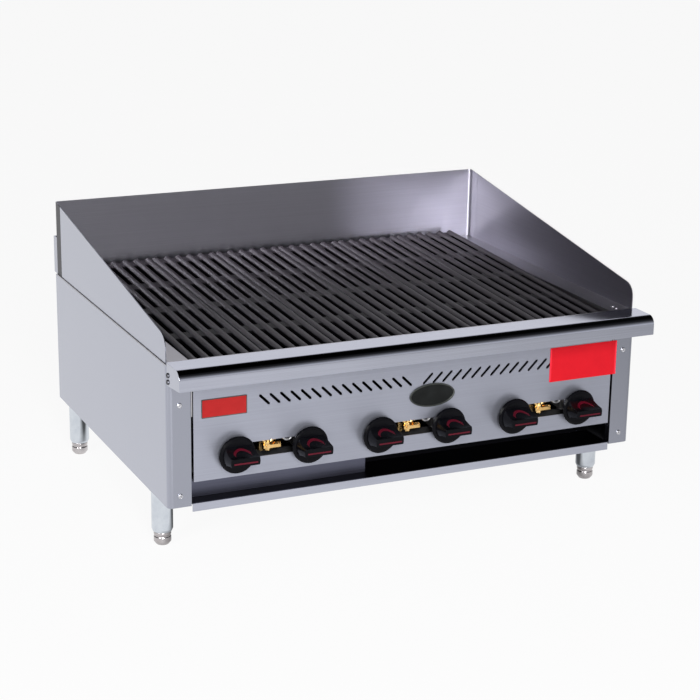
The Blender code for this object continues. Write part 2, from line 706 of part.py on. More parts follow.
def build_valves():
    """Gas valves on the manifold: body, neck, nose with the stem's bore, outlet hood into the burner."""
    half = VALVE_BODY / 2
    top_of_pipe = PIPE_RADIUS + SEAT_GAP - MANIFOLD_DROP
    nose = VALVE_BODY_FRONT - VALVE_NOSE_LENGTH
    body = box_mesh((-half, VALVE_BODY_FRONT, -half), (half, VALVE_BODY_REAR, half))
    neck = rod_mesh((0, MANIFOLD_Y, top_of_pipe), (0, MANIFOLD_Y, 0), VALVE_NECK_RADIUS, VALVE_STEPS)
    front = rod_mesh((0, nose, 0), (0, VALVE_BODY_FRONT + half, 0), VALVE_NOSE_RADIUS, VALVE_STEPS)
    hood = rod_mesh((0, VALVE_BODY_REAR - half, 0), (0, BURNER_FRONT + VALVE_HOOD_REACH, 0),
                    VALVE_HOOD_RADIUS, VALVE_STEPS)
    solid = joined([body, neck, front, hood])
    bore = rod_mesh((0, nose - SHEET, 0), (0, nose + STEM_ENGAGEMENT + RUNNING_GAP, 0),
                    STEM_RADIUS + RUNNING_GAP, VALVE_STEPS)
    carrier = bpy.data.objects.new("valve_blank", solid)
    PARTS.objects.link(carrier)
    drill = guide("stem_bore", bore)
    drill.parent = None
    combine(carrier, drill, "DIFFERENCE")
    bpy.context.view_layer.update()
    mesh = evaluated_mesh(carrier)
    for index in range(STATION_COUNT):
        place("valve_%d" % (index + 1), mesh, VALVE_METAL, (station_x(index), 0, VALVE_HEIGHT))


def scoop_outline(side):
    """Outline, in the knob's side view, of the hollow that leaves the bar of the grip."""
    base = -KNOB_STAND_OFF - KNOB_SKIRT - KNOB_SHOULDER
    tip = base - KNOB_GRIP_LENGTH
    depth = KNOB_BAR_BASE - KNOB_BAR_FRONT
    radius = (KNOB_GRIP_LENGTH ** 2 + depth ** 2) / (2 * depth)
    sweep = math.asin(KNOB_GRIP_LENGTH / radius)
    past = tip - KNOB_SKIRT
    outline = [(past, side * KNOB_RADIUS), (past, side * KNOB_BAR_FRONT)]
    for step in range(KNOB_SCOOP_STEPS + 1):
        angle = sweep * step / KNOB_SCOOP_STEPS
        half = KNOB_BAR_FRONT + radius * (1 - math.cos(angle))
        outline.append((tip + radius * math.sin(angle), side * half))
    outline.append((base, side * KNOB_RADIUS))
    return outline


def build_knobs():
    """Round knobs with a skirt, a bar grip between two scoops, and the stem that enters the valve."""
    base = KNOB_STAND_OFF + KNOB_SKIRT
    tip = base + KNOB_GRIP_LENGTH
    stem_end = VALVE_BODY_FRONT - VALVE_NOSE_LENGTH + STEM_ENGAGEMENT
    profile = [(0, tip), (KNOB_GRIP_RADIUS - KNOB_SKIRT_EDGE / 2, tip),
               (KNOB_GRIP_RADIUS, tip - KNOB_SKIRT_EDGE / 2), (KNOB_GRIP_BASE_RADIUS, base),
               (KNOB_RADIUS - KNOB_SKIRT_EDGE, base), (KNOB_RADIUS, base - KNOB_SKIRT_EDGE),
               (KNOB_BACK_RADIUS, KNOB_STAND_OFF), (STEM_RADIUS, KNOB_STAND_OFF), (STEM_RADIUS, -stem_end),
               (0, -stem_end)]
    body = bpy.data.objects.new("knob_blank", turned_mesh(profile, KNOB_STEPS))
    body.data.transform(XZ_PLANE)
    PARTS.objects.link(body)
    for side in (-1, 1):
        reach = KNOB_RADIUS + KNOB_SKIRT_EDGE
        scoop = guide("knob_scoop", plate_mesh([scoop_outline(side)], -reach, reach, YZ_PLANE))
        scoop.parent = None
        combine(body, scoop, "DIFFERENCE")
    bpy.context.view_layer.update()
    mesh = evaluated_mesh(body)
    for index in range(STATION_COUNT):
        place("knob_%d" % (index + 1), mesh, KNOB_PLASTIC, (station_x(index), 0, VALVE_HEIGHT))


def panel_openings():
    """Vent slots, stem holes and pilot windows of the control panel."""
    loops = []
    middle = SIDE_BOTTOM + VENT_CENTRE_HEIGHT
    run = Vector((VENT_LEAN, VENT_HEIGHT - VENT_WIDTH)) / 2
    for side, first in ((-1, 0), (1, VENT_BADGE_SLOTS)):
        for index in range(first, VENT_COUNT):
            centre = Vector((side * (VENT_FIRST + index * VENT_PITCH), middle))
            reach = Vector((side * run.x, run.y))
            loops.append(round_slot(centre - reach, centre + reach, VENT_WIDTH))
    for index in range(STATION_COUNT):
        loops.append(circle(station_x(index), VALVE_HEIGHT, STEM_HOLE_RADIUS, HOLE_STEPS))
    for index in range(PILOT_COUNT):
        x = pilot_x(index)
        loops.append(rectangle(x - WINDOW_WIDTH / 2, x + WINDOW_WIDTH / 2, VALVE_HEIGHT - WINDOW_HEIGHT / 2,
                               VALVE_HEIGHT + WINDOW_HEIGHT / 2))
    return loops


def build_control_panel():
    """Control panel: a face with returns along its top and bottom edges, cut by its openings."""
    half = FLANGE_X - PANEL_SIDE_GAP
    top = RAIL_TOP - PANEL_TOP_GAP
    inner = PANEL_FRONT + PANEL_RETURN
    profile = [(inner, PANEL_Z), (PANEL_FRONT, PANEL_Z), (PANEL_FRONT, top), (inner, top)]
    panel = folded("control_panel", profile, -half, half, YZ_PLANE, STAINLESS)
    openings = plate_mesh(panel_openings(), PANEL_FRONT - SHEET, PANEL_BACK + SHEET, XZ_PLANE)
    combine(panel, guide("panel_openings", openings), "DIFFERENCE")


def pilot_tube_points(side):
    """Route of one pilot tube from its arm back to the burner on that side."""
    arm = PILOT_ARM_LENGTH - PILOT_TUBE_RADIUS
    start = Vector((side * arm * math.sin(PILOT_ARM_ANGLE), PILOT_Y, arm * math.cos(PILOT_ARM_ANGLE)))
    level = start.z + PILOT_TUBE_RISE
    knee = Vector((start.x + side * PILOT_TUBE_RISE * math.tan(PILOT_ARM_ANGLE), PILOT_Y, level))
    sweep = Vector((knee.x + side * PILOT_TUBE_SPREAD / 2, PILOT_Y + PILOT_TUBE_REACH / 2, level))
    end = Vector((knee.x + side * PILOT_TUBE_SPREAD, PILOT_Y + PILOT_TUBE_REACH, level))
    return [start, knee, sweep, end]


def build_pilots():
    """Twin pilot valves: brass body on the manifold, two raised arms and their tubes."""
    foot = PIPE_RADIUS + SEAT_GAP - MANIFOLD_DROP
    for_arm = Vector((math.sin(PILOT_ARM_ANGLE), 0, math.cos(PILOT_ARM_ANGLE))) * PILOT_ARM_LENGTH
    half = PILOT_BODY_HEIGHT / 2
    solids = [rod_mesh((0, PILOT_Y, -half), (0, PILOT_Y, half), PILOT_BODY_RADIUS, PILOT_STEPS),
              rod_mesh((0, MANIFOLD_Y, foot), (0, MANIFOLD_Y, 0), PILOT_STEM_RADIUS, PILOT_STEPS),
              rod_mesh((0, PILOT_Y, 0), (0, MANIFOLD_Y, 0), PILOT_LINK_RADIUS, PILOT_STEPS)]
    for side in (-1, 1):
        arm = Vector((side * for_arm.x, PILOT_Y, for_arm.z))
        solids.append(rod_mesh((0, PILOT_Y, 0), arm, PILOT_ARM_RADIUS, PILOT_STEPS))
        solids.append(tube_mesh(pilot_tube_points(side), PILOT_TUBE_RADIUS))
    mesh = joined(solids)
    for index in range(PILOT_COUNT):
        place("pilot_valve_%d" % (index + 1), mesh, BRASS, (pilot_x(index), 0, VALVE_HEIGHT))


def build_trays():
    """Drip trays on the base pan: open boxes with a pull lip along the front."""
    outer = FLANGE_X - TRAY_SIDE_GAP
    base = PAN_TOP + SEAT_GAP
    top = base + TRAY_HEIGHT
    length = BODY_DEPTH - TRAY_REAR_ROOM - TRAY_RIGHT_FRONT
    spans = {"drip_tray_left": (-outer, -TRAY_SEAM_OFFSET - TRAY_SEAM_GAP / 2, TRAY_LEFT_FRONT),
             "drip_tray_right": (-TRAY_SEAM_OFFSET + TRAY_SEAM_GAP / 2, outer, TRAY_RIGHT_FRONT)}
    for name, (left, right, front) in spans.items():
        rear = front + length
        shell = box_mesh((left, front, base), (right, rear, top))
        hollow = box_mesh((left + SHEET, front + SHEET, base + SHEET),
                          (right - SHEET, rear - SHEET, top + SHEET))
        lip = box_mesh((left, front + SHEET / 2, top - SHEET), (right, front + TRAY_LIP, top))
        tray = place(name, shell, TRAY_STEEL)
        combine(tray, guide(name + "_hollow", hollow), "DIFFERENCE")
        combine(tray, guide(name + "_lip", lip), "UNION")


def build_legs():
    """Round legs under the base flanges and the feet that screw into them."""
    top = SIDE_BOTTOM - SEAT_GAP
    tip = FOOT_HEIGHT + SEAT_GAP
    bore = FOOT_STEM_RADIUS + RUNNING_GAP
    stem_top = FOOT_HEIGHT + FOOT_STEM_LENGTH
    bore_top = stem_top + SEAT_GAP
    leg = turned_mesh([(0, top), (LEG_PLATE_RADIUS, top), (LEG_PLATE_RADIUS, top - LEG_PLATE),
                       (LEG_RADIUS, top - LEG_PLATE), (LEG_RADIUS, tip + LEG_TIP), (LEG_TIP_RADIUS, tip),
                       (bore, tip), (bore, bore_top), (0, bore_top)], LEG_STEPS)
    foot = turned_mesh([(0, stem_top), (FOOT_STEM_RADIUS, stem_top), (FOOT_STEM_RADIUS, FOOT_HEIGHT),
                        (FOOT_RADIUS, FOOT_HEIGHT), (FOOT_RADIUS, FOOT_TOE), (FOOT_TOE_RADIUS, 0), (0, 0)],
                       LEG_STEPS)
    for end, y in (("front", LEG_FRONT_Y), ("rear", LEG_REAR_Y)):
        for hand, x in (("left", -LEG_X), ("right", LEG_X)):
            place("leg_%s_%s" % (end, hand), leg, LEG_PLATED, (x, y, 0))
            place("foot_%s_%s" % (end, hand), foot, FOOT_METAL, (x, y, 0))


def main():
    """Builds every piece of the charbroiler."""
    build_sides()
    build_back_and_base()
    build_rail()
    build_liner()
    build_splashes()
    build_grates()
    build_radiants()
    build_burners()
    build_gas_line()
    build_valves()
    build_knobs()
    build_control_panel()
    build_pilots()
    build_trays()
    build_legs()


main()
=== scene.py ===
"""Looks of a countertop charbroiler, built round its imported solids.

The folded sheets keep their solids and get brushed finishes. The rail, grates, knobs, pilot valves,
legs and feet are modelled again with the round edges, grooves and marks of the real pieces, and the
screws, rivets and bare plates are added. Metres, +Z up, the controls face -Y.
"""
import logging
import math
from dataclasses import dataclass
from enum import Enum
from typing import Callable, Iterable

import bmesh
import bpy
from mathutils import Matrix, Vector


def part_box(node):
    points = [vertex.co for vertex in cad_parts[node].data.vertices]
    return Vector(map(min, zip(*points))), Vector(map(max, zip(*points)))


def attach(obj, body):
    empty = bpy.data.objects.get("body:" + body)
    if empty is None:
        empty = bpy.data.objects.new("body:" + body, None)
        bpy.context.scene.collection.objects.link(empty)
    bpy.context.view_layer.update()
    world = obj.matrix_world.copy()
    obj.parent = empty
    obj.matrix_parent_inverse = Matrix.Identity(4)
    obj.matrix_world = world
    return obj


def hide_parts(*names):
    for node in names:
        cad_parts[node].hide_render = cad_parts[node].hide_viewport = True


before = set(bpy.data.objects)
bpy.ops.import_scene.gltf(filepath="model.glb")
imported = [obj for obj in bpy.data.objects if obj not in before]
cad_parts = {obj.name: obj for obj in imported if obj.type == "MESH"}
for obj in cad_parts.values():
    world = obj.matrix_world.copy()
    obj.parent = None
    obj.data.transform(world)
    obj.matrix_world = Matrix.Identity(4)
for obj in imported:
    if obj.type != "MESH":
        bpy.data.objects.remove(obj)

Colour = tuple[float, float, float]
Point = tuple[float, float, float]
Span = tuple[float, float]
Socket = bpy.types.NodeSocket
Piece = bpy.types.Object
Test = Callable[[Vector, Vector], bool]

LOG = logging.getLogger("charbroiler")
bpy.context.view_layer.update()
CHASSIS = "chassis"
STATIONS = range(1, 7)
PILOTS = range(1, 4)
HANDS = {"left": -1, "right": 1}
ORIGIN = (0, 0, 0)
UP = (0, 0, 1)
FULL_TURN = 2 * math.pi
QUARTER_TURN = math.pi / 2
SOOT_AND_SHADE = "soot_and_shade"
HAIR = 0.00005
WELD = 0.000005
LEVEL = 1e-6
SQUARE_ON = 0.9
NORMAL_WEIGHT = 50
NOISE_SPAN = (0.3, 0.7)
WHOLE = (0.0, 1.0)
MIX_FIRST, MIX_SECOND, MIX_RESULT = 6, 7, 2


class Grain(Enum):
    """Way the brushing runs on a sheet, as noise scales along X, Y and Z."""

    ALONG_X = (5.0, 900.0, 900.0)
    ALONG_Y = (900.0, 5.0, 900.0)
    EVEN = (260.0, 260.0, 260.0)


class Part(Enum):
    """Kind of mesh element that a modelling step picks."""

    VERTS = "VERT"
    EDGES = "EDGE"
    FACES = "FACE"


class NodeBoard:
    """Nodes of one material, or of the room, wired step by step."""

    def __init__(self, owner: bpy.types.Material | bpy.types.World, shader: str = "Principled BSDF") -> None:
        """Switches on the owner's nodes and finds its shader."""
        owner.use_nodes = True
        self.owner = owner
        self.nodes = owner.node_tree.nodes
        self.links = owner.node_tree.links
        self.shader = self.nodes[shader]

    def put(self, socket: Socket, value: Socket | float | tuple) -> None:
        """Wires an output to a socket, or sets a constant on it."""
        if isinstance(value, Socket):
            self.links.new(value, socket)
        else:
            socket.default_value = value

    def feed(self, name: str, value: Socket | float | tuple) -> None:
        """Gives the shader a varying value, or a constant set on the shader itself."""
        self.put(self.shader.inputs[name], value)

    def add(self, kind: str, values: dict, **settings: str) -> bpy.types.Node:
        """Adds a node.

        Args:
            kind: Blender's name of the node type.
            values: an output or a constant for each input that is set.
            settings: the node's own properties.

        Returns:
            The node.
        """
        node = self.nodes.new(kind)
        for name, setting in settings.items():
            setattr(node, name, setting)
        for socket, value in values.items():
            self.put(node.inputs[socket], value)
        return node

    def where(self, system: str = "Object") -> Socket:
        """Coordinates of one system, the piece's own if left out."""
        return self.add("ShaderNodeTexCoord", {}).outputs[system]

    def place(self, axis: str, system: str = "Object") -> Socket:
        """Coordinate along one axis, in metres on a piece."""
        return self.add("ShaderNodeSeparateXYZ", {0: self.where(system)}).outputs[axis]

    def noise(self, scale: Point | float, detail: float) -> Socket:
        """Noise stretched by a scale for each axis.

        Args:
            scale: noise cells to the metre, in all or along X, Y and Z.
            detail: octaves of finer noise.

        Returns:
            The noise value from 0 to 1.
        """
        cells = scale if isinstance(scale, tuple) else (scale,) * 3
        scaled = self.add("ShaderNodeMapping", {"Vector": self.where(), "Scale": cells})
        values = {"Vector": scaled.outputs["Vector"], "Scale": 1.0, "Detail": detail}
        return self.add("ShaderNodeTexNoise", values).outputs["Fac"]

    def painted(self, name: str) -> Socket:
        """Value that a piece's own point attribute holds."""
        return self.add("ShaderNodeAttribute", {}, attribute_name=name).outputs["Fac"]

    def reckon(self, operation: str, *values: Socket | float) -> Socket:
        """Result of one step of arithmetic on numbers or outputs."""
        return self.add("ShaderNodeMath", dict(enumerate(values)), operation=operation).outputs[0]

    def spread(self, source: Socket, result: Span = WHOLE, span: Span = NOISE_SPAN) -> Socket:
        """Maps a value to a range.

        Args:
            source: the value to map.
            result: results at the two ends of the span.
            span: source values that give these results.

        Returns:
            The mapped value, held between the two results.
        """
        ends = {"From Min": span[0], "From Max": span[1], "To Min": result[0], "To Max": result[1]}
        return self.add("ShaderNodeMapRange", {"Value": source, **ends}).outputs["Result"]

    def shade(self, factor: Socket, first: Colour | Socket, second: Colour | Socket) -> Socket:
        """Colour between two by a factor.

        Args:
            factor: 0 for the first colour, 1 for the second.
            first: a colour, or the output that gives it.
            second: the other colour.

        Returns:
            The mixed colour.
        """
        values = {"Factor": factor}
        for socket, colour in ((MIX_FIRST, first), (MIX_SECOND, second)):
            values[socket] = colour if isinstance(colour, Socket) else (*colour, 1.0)
        return self.add("ShaderNodeMix", values, data_type="RGBA").outputs[MIX_RESULT]

    def relief(self, height: Socket, strength: float, depth: float) -> None:
        """Bump from a height, in metres at full strength."""
        bump = self.add("ShaderNodeBump", {"Strength": strength, "Distance": depth, "Height": height})
        self.feed("Normal", bump.outputs["Normal"])


@dataclass(frozen=True)
class PaintedShading:
    """Painted shading: another tone of a sheet past a plane across one axis, standing in for light or shade.
    """

    axis: str
    start: float
    colour: Colour
    both_ends: bool = False
    soft: float = 0.0004


@dataclass(frozen=True)
class Finish:
    """What each kind of finish starts from."""

    name: str
    colour: Colour
    roughness: Span

    def material(self) -> bpy.types.Material:
        """Makes the finish's material."""
        board = NodeBoard(bpy.data.materials.new(self.name))
        self.wire(board)
        return board.owner

    def wire(self, board: NodeBoard) -> None:
        """Wires the nodes of this kind of finish."""
        raise NotImplementedError


@dataclass(frozen=True)
class BrushedSteel(Finish):
    """Stainless sheet with fine brushing and faint cloudy handling marks."""

    grain: Grain
    contrast: float = 0.07
    smear: float = 0.0
    relief_depth: float = 0.00004
    painted_shading: PaintedShading | None = None
    metallic: float = 1.0
    smear_turn: float = 0.25
    cloud_scale: float = 7.0
    streak_share: float = 0.6
    relief_strength: float = 0.25

    def wire(self, board: NodeBoard) -> None:
        """Mixes streaks and clouds into the tone and the gloss, with the painted shading over them."""
        board.feed("Metallic", self.metallic)
        board.feed("Anisotropic", self.smear)
        board.feed("Anisotropic Rotation", self.smear_turn)
        streaks = board.noise(self.grain.value, 2.0)
        clouds = board.noise(self.cloud_scale, 4.0)
        dark = tuple(channel * (1 - self.contrast) for channel in self.colour)
        light = tuple(min(1.0, channel * (1 + self.contrast)) for channel in self.colour)
        mixed = board.reckon("ADD", board.spread(streaks, (0.0, self.streak_share)),
                             board.spread(clouds, (0.0, 1 - self.streak_share)))
        tone = board.shade(mixed, dark, light)
        # Painted shade or light: a plain band of another tone past a plane.
        if self.painted_shading is not None:
            along = board.place(self.painted_shading.axis)
            if self.painted_shading.both_ends:
                along = board.reckon("ABSOLUTE", along)
            past = board.spread(along, WHOLE, (self.painted_shading.start, self.painted_shading.start + self.painted_shading.soft))
            tone = board.shade(past, tone, self.painted_shading.colour)
        board.feed("Base Color", tone)
        board.feed("Roughness", board.spread(mixed, self.roughness, WHOLE))
        board.relief(streaks, self.relief_strength, self.relief_depth)


@dataclass(frozen=True)
class CastMetal(Finish):
    """Rough casting: grainy skin, burnt tone in patches, duller where it is coarse."""

    burnt: Colour
    metallic: float
    specular: float = 0.4
    soot_and_shade: Colour | None = None
    rear_reflection: Colour | None = None
    rear_reflection_y: Span = (-0.02, 0.30)
    soot_and_shade_dull: Span = (0.0, 0.9)
    grain_scale: float = 900.0
    patch_scale: float = 14.0
    relief_strength: float = 0.5
    relief_depth: float = 0.0005

    def wire(self, board: NodeBoard) -> None:
        """Lays patches, a painted reflection lighter towards the rear, and soot with painted shade over the
        tone, and grain over the skin.
        """
        board.feed("Metallic", self.metallic)
        board.feed("Specular IOR Level", self.specular)
        grain = board.noise(self.grain_scale, 3.0)
        patches = board.noise(self.patch_scale, 5.0)
        tone = board.shade(board.spread(patches), self.colour, self.burnt)
        # Painted reflection: the tone lightens towards the rear, where the bars catch the bright splash.
        if self.rear_reflection is not None:
            tone = board.shade(board.spread(board.place("Y"), WHOLE, self.rear_reflection_y), tone, self.rear_reflection)
        # Soot with painted shade: darker and without reflection down the bar flanks and in the ribs, more so
        # towards the front.
        if self.soot_and_shade is not None:
            soot_and_shade = board.painted(SOOT_AND_SHADE)
            tone = board.shade(soot_and_shade, tone, self.soot_and_shade)
            board.feed("Specular IOR Level", board.spread(soot_and_shade, (self.specular, 0.0), self.soot_and_shade_dull))
        board.feed("Base Color", tone)
        half = (0.0, 0.5)
        mixed = board.reckon("ADD", board.spread(grain, half), board.spread(patches, half))
        board.feed("Roughness", board.spread(mixed, self.roughness, WHOLE))
        board.relief(grain, self.relief_strength, self.relief_depth)


@dataclass(frozen=True)
class TurnedMetal(Finish):
    """Machined or plated metal with faint turning lines and clouds of tarnish."""

    tarnish: Colour
    grain: Grain = Grain.EVEN
    tarnish_scale: float = 60.0
    relief_strength: float = 0.3
    relief_depth: float = 0.00003

    def wire(self, board: NodeBoard) -> None:
        """Lays tarnish over the tone and lines over the gloss."""
        board.feed("Metallic", 1.0)
        lines = board.noise(self.grain.value, 2.0)
        clouds = board.noise(self.tarnish_scale, 4.0)
        board.feed("Base Color", board.shade(board.spread(clouds), self.colour, self.tarnish))
        board.feed("Roughness", board.spread(lines, self.roughness))
        board.relief(lines, self.relief_strength, self.relief_depth)


@dataclass(frozen=True)
class Moulding(Finish):
    """Plastic, paint or print: one tone with a slight cloud in its colour and gloss."""

    faded: Colour
    specular: float
    cloud_scale: float = 45.0
    grain_scale: float = 700.0
    relief_strength: float = 0.15
    relief_depth: float = 0.00006

    def wire(self, board: NodeBoard) -> None:
        """Lays a cloud over the tone and the gloss, and grain over the skin."""
        board.feed("Specular IOR Level", self.specular)
        cloud = board.noise(self.cloud_scale, 4.0)
        grain = board.noise(self.grain_scale, 2.0)
        board.feed("Base Color", board.shade(board.spread(cloud), self.colour, self.faded))
        board.feed("Roughness", board.spread(cloud, self.roughness))
        board.relief(grain, self.relief_strength, self.relief_depth)


BODY_TONE = (0.45, 0.465, 0.54)
SPLASH_TONE = (0.475, 0.465, 0.525)
SPLASH_RELIEF = 0.000012
# Painted shade: the back splash's outer end returns are near black, for the shaded gap beside the side
# splashes.
OUTER_RETURN_SHADE = PaintedShading("X", 0.4549, (0.022, 0.022, 0.032), both_ends=True)
# Painted shade: past this plane the side panels get the body tone, and their front-facing flanges keep the
# darker side-steel tone.
SIDE_FACE = PaintedShading("Y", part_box("side_panel_left")[0].y + 0.001, BODY_TONE, soft=0.006)
# Painted shade: the pan floor is near black past a strip at its front edge, for the shade under the control
# panel.
PAN_FLOOR_SHADE = PaintedShading("Y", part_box("bottom_pan")[0].y + 0.003, (0.010, 0.010, 0.013))


class Look(Enum):
    """Every finish of the charbroiler."""

    # Painted shade: the front panel's steel is a darker, less metallic copy of the body steel, for its
    # front-facing side.
    FRONT = BrushedSteel("front_steel", (0.346, 0.358, 0.422), (0.33, 0.41), Grain.ALONG_X, smear=0.45,
                         metallic=0.75)
    PAN = BrushedSteel("pan_steel", BODY_TONE, (0.34, 0.42), Grain.ALONG_X, painted_shading=PAN_FLOOR_SHADE)
    RAIL = BrushedSteel("rail_steel", BODY_TONE, (0.09, 0.14), Grain.ALONG_X)
    SIDE = BrushedSteel("side_steel", (0.355, 0.367, 0.426), (0.24, 0.27), Grain.ALONG_Y, contrast=0.02,
                        smear=0.5, relief_depth=0.000005, painted_shading=SIDE_FACE)
    SPLASH = BrushedSteel("splash_steel", SPLASH_TONE, (0.33, 0.37), Grain.ALONG_X, smear=1.0,
                          relief_depth=SPLASH_RELIEF, painted_shading=OUTER_RETURN_SHADE)
    SIDE_SPLASH = BrushedSteel("side_splash_steel", SPLASH_TONE, (0.32, 0.37), Grain.ALONG_Y, smear=1.0,
                               relief_depth=SPLASH_RELIEF)
    LINER = BrushedSteel("liner_steel", (0.52, 0.51, 0.54), (0.32, 0.42), Grain.ALONG_Y, contrast=0.06,
                         relief_depth=0.00001)
    # Painted shade: both trays are dark copies of the tray steel for the recess under the control panel, the
    # right one near black for the deeper shadow.
    TRAY = BrushedSteel("tray_steel", (0.11, 0.113, 0.155), (0.3, 0.45), Grain.ALONG_X, contrast=0.14)
    TRAY_BLACK = BrushedSteel("shaded_tray_steel", (0.012, 0.012, 0.015), (0.4, 0.5), Grain.ALONG_X,
                              contrast=0.14)
    # Painted reflection: the grate iron lightens towards the rear.
    # Soot with painted shade darkens the grate valleys.
    GRATE = CastMetal("grate_iron", (0.039, 0.036, 0.043), (0.30, 0.46), (0.053, 0.048, 0.055), 0.0,
                      specular=0.36, soot_and_shade=(0.004, 0.0038, 0.0045), rear_reflection=(0.088, 0.074, 0.092))
    RADIANT = CastMetal("radiant_iron", (0.09, 0.085, 0.085), (0.5, 0.7), (0.13, 0.09, 0.07), 0.6)
    BURNER = CastMetal("burner_iron", (0.06, 0.055, 0.055), (0.55, 0.75), (0.09, 0.07, 0.06), 0.4)
    VALVE = CastMetal("valve_casting", (0.30, 0.29, 0.29), (0.35, 0.5), (0.22, 0.21, 0.21), 0.9)
    PIPE = Moulding("black_pipe", (0.02, 0.02, 0.022), (0.4, 0.55), (0.035, 0.034, 0.034), 0.3)
    BRASS = TurnedMetal("brass", (0.90, 0.62, 0.27), (0.22, 0.34), (0.80, 0.50, 0.19))
    TUBE = TurnedMetal("pilot_tube_aluminium", (0.80, 0.80, 0.82), (0.38, 0.5), (0.70, 0.70, 0.72))
    LEG = TurnedMetal("leg_plating", (0.68, 0.72, 0.77), (0.05, 0.10), (0.58, 0.62, 0.68), Grain.ALONG_X)
    FOOT = TurnedMetal("foot_metal", (0.60, 0.575, 0.585), (0.2, 0.34), (0.46, 0.43, 0.43), Grain.ALONG_X)
    SCREW = TurnedMetal("screw_steel", (0.66, 0.66, 0.69), (0.26, 0.38), (0.52, 0.52, 0.55))
    # Painted shade: the rail-end screws are a dark copy of the screw steel, so that they read as shaded
    # recesses.
    RAIL_SCREW = TurnedMetal("rail_screw_steel", (0.16, 0.16, 0.18), (0.4, 0.5), (0.11, 0.11, 0.12))
    KNOB = Moulding("knob_black", (0.002, 0.002, 0.003), (0.16, 0.24), (0.0035, 0.0035, 0.005), 0.08)
    KNOB_MARK = Moulding("knob_red", (0.095, 0.003, 0.012), (0.3, 0.42), (0.075, 0.002, 0.010), 0.2)
    PLATE_RED = Moulding("plate_red", (0.37, 0.017, 0.017), (0.4, 0.5), (0.33, 0.015, 0.015), 0.1)
    STICKER_RED = Moulding("sticker_red", (0.62, 0.012, 0.021), (0.5, 0.6), (0.58, 0.011, 0.020), 0.05)
    STICKER_EDGE = Moulding("sticker_edge", (0.86, 0.035, 0.06), (0.5, 0.6), (0.82, 0.03, 0.05), 0.05)
    BADGE_BLACK = Moulding("badge_black", (0.007, 0.0075, 0.0075), (0.3, 0.4), (0.012, 0.013, 0.013), 0.08)
    BADGE_RIM = TurnedMetal("badge_rim", (0.09, 0.095, 0.09), (0.42, 0.52), (0.06, 0.065, 0.06))


class Finishes:
    """The materials of all the looks, made once and shared by the pieces."""

    def __init__(self) -> None:
        """Makes the materials."""
        self.made = {look: look.value.material() for look in Look}

    def __getitem__(self, look: Look) -> bpy.types.Material:
        """The material of one look."""
        return self.made[look]


@dataclass(frozen=True)
class Rounding:
    """How the sharp edges of a piece are rounded, the angle in degrees."""

    width: float
    steps: int
    angle: float


def clear() -> None:
    """Leaves edit mode and deselects everything."""
    active = bpy.context.view_layer.objects.active
    if active is not None and active.mode != "OBJECT":
        bpy.ops.object.mode_set(mode="OBJECT")
    bpy.ops.object.select_all(action="DESELECT")


def hold(*pieces: Piece) -> None:
    """Selects pieces, the first of them active."""
    clear()
    for piece in pieces:
        piece.select_set(True)
    bpy.context.view_layer.objects.active = pieces[0]


def settle(name: str) -> Piece:
    """Names the active piece, moves its place into its mesh and returns it."""
    piece = bpy.context.view_layer.objects.active
    bpy.ops.object.transform_apply(location=True, rotation=True, scale=True)
    piece.name = name
    piece.data.name = name
    return piece


def block(name: str, low: Iterable[float], high: Iterable[float]) -> Piece:
    """Adds a cube stretched between its lowest and its highest corner."""
    low, high = Vector(low), Vector(high)
    clear()
    bpy.ops.mesh.primitive_cube_add(size=1, location=(low + high) / 2)
    bpy.context.view_layer.objects.active.scale = high - low
    return settle(name)


def rod(name: str, start: Iterable[float], end: Iterable[float], radius: float, sides: int) -> Piece:
    """Adds a cylinder between two points.

    Args:
        name: the piece's name.
        start: centre of the first end.
        end: centre of the other end.
        radius: the cylinder's radius.
        sides: number of sides.

    Returns:
        The piece.
    """
    start, end = Vector(start), Vector(end)
    along = end - start
    clear()
    bpy.ops.mesh.primitive_cone_add(vertices=sides, radius1=radius, radius2=radius, depth=along.length,
                                    location=(start + end) / 2,
                                    rotation=along.to_track_quat("Z", "Y").to_euler())
    return settle(name)


def pick(piece: Piece, kind: Part, test: Test = lambda place, normal: True) -> None:
    """Enters edit mode and selects elements by the place of their middle and their normal.

    Args:
        piece: the piece to edit.
        kind: what is selected.
        test: says from the middle and the normal, or an edge's own direction, whether an
            element is wanted; all are if it is left out.
    """
    if piece.mode != "EDIT":
        hold(piece)
        bpy.ops.object.mode_set(mode="EDIT")
    bpy.ops.mesh.select_mode(type=kind.value)
    bpy.ops.mesh.select_all(action="DESELECT")
    mesh = bmesh.from_edit_mesh(piece.data)
    mesh.normal_update()
    if kind is Part.VERTS:
        for vert in mesh.verts:
            vert.select_set(test(vert.co, vert.normal))
    elif kind is Part.EDGES:
        for edge in mesh.edges:
            start, end = (vert.co for vert in edge.verts)
            edge.select_set(test((start + end) / 2, end - start))
    else:
        for face in mesh.faces:
            face.select_set(test(face.calc_center_median(), face.normal))
    mesh.select_flush_mode()
    bmesh.update_edit_mesh(piece.data)


def modify(piece: Piece, kind: str, **settings: object) -> None:
    """Adds a modifier with its settings and applies it.

    Args:
        piece: the piece to change.
        kind: Blender's name of the modifier type.
        settings: the modifier's properties.
    """
    hold(piece)
    modifier = piece.modifiers.new(kind.lower(), kind)
    for name, setting in settings.items():
        setattr(modifier, name, setting)
    bpy.ops.object.modifier_apply(modifier=modifier.name)


def array(piece: Piece, count: int, step: Point) -> None:
    """Repeats a piece by a step."""
    modify(piece, "ARRAY", count=count, use_relative_offset=False, use_constant_offset=True,
                 constant_offset_displace=step)


def cut(piece: Piece, cutter: Piece) -> None:
    """Takes one piece out of another and removes the cutter."""
    modify(piece, "BOOLEAN", object=cutter, operation="DIFFERENCE", solver="EXACT")
    discard(cutter)


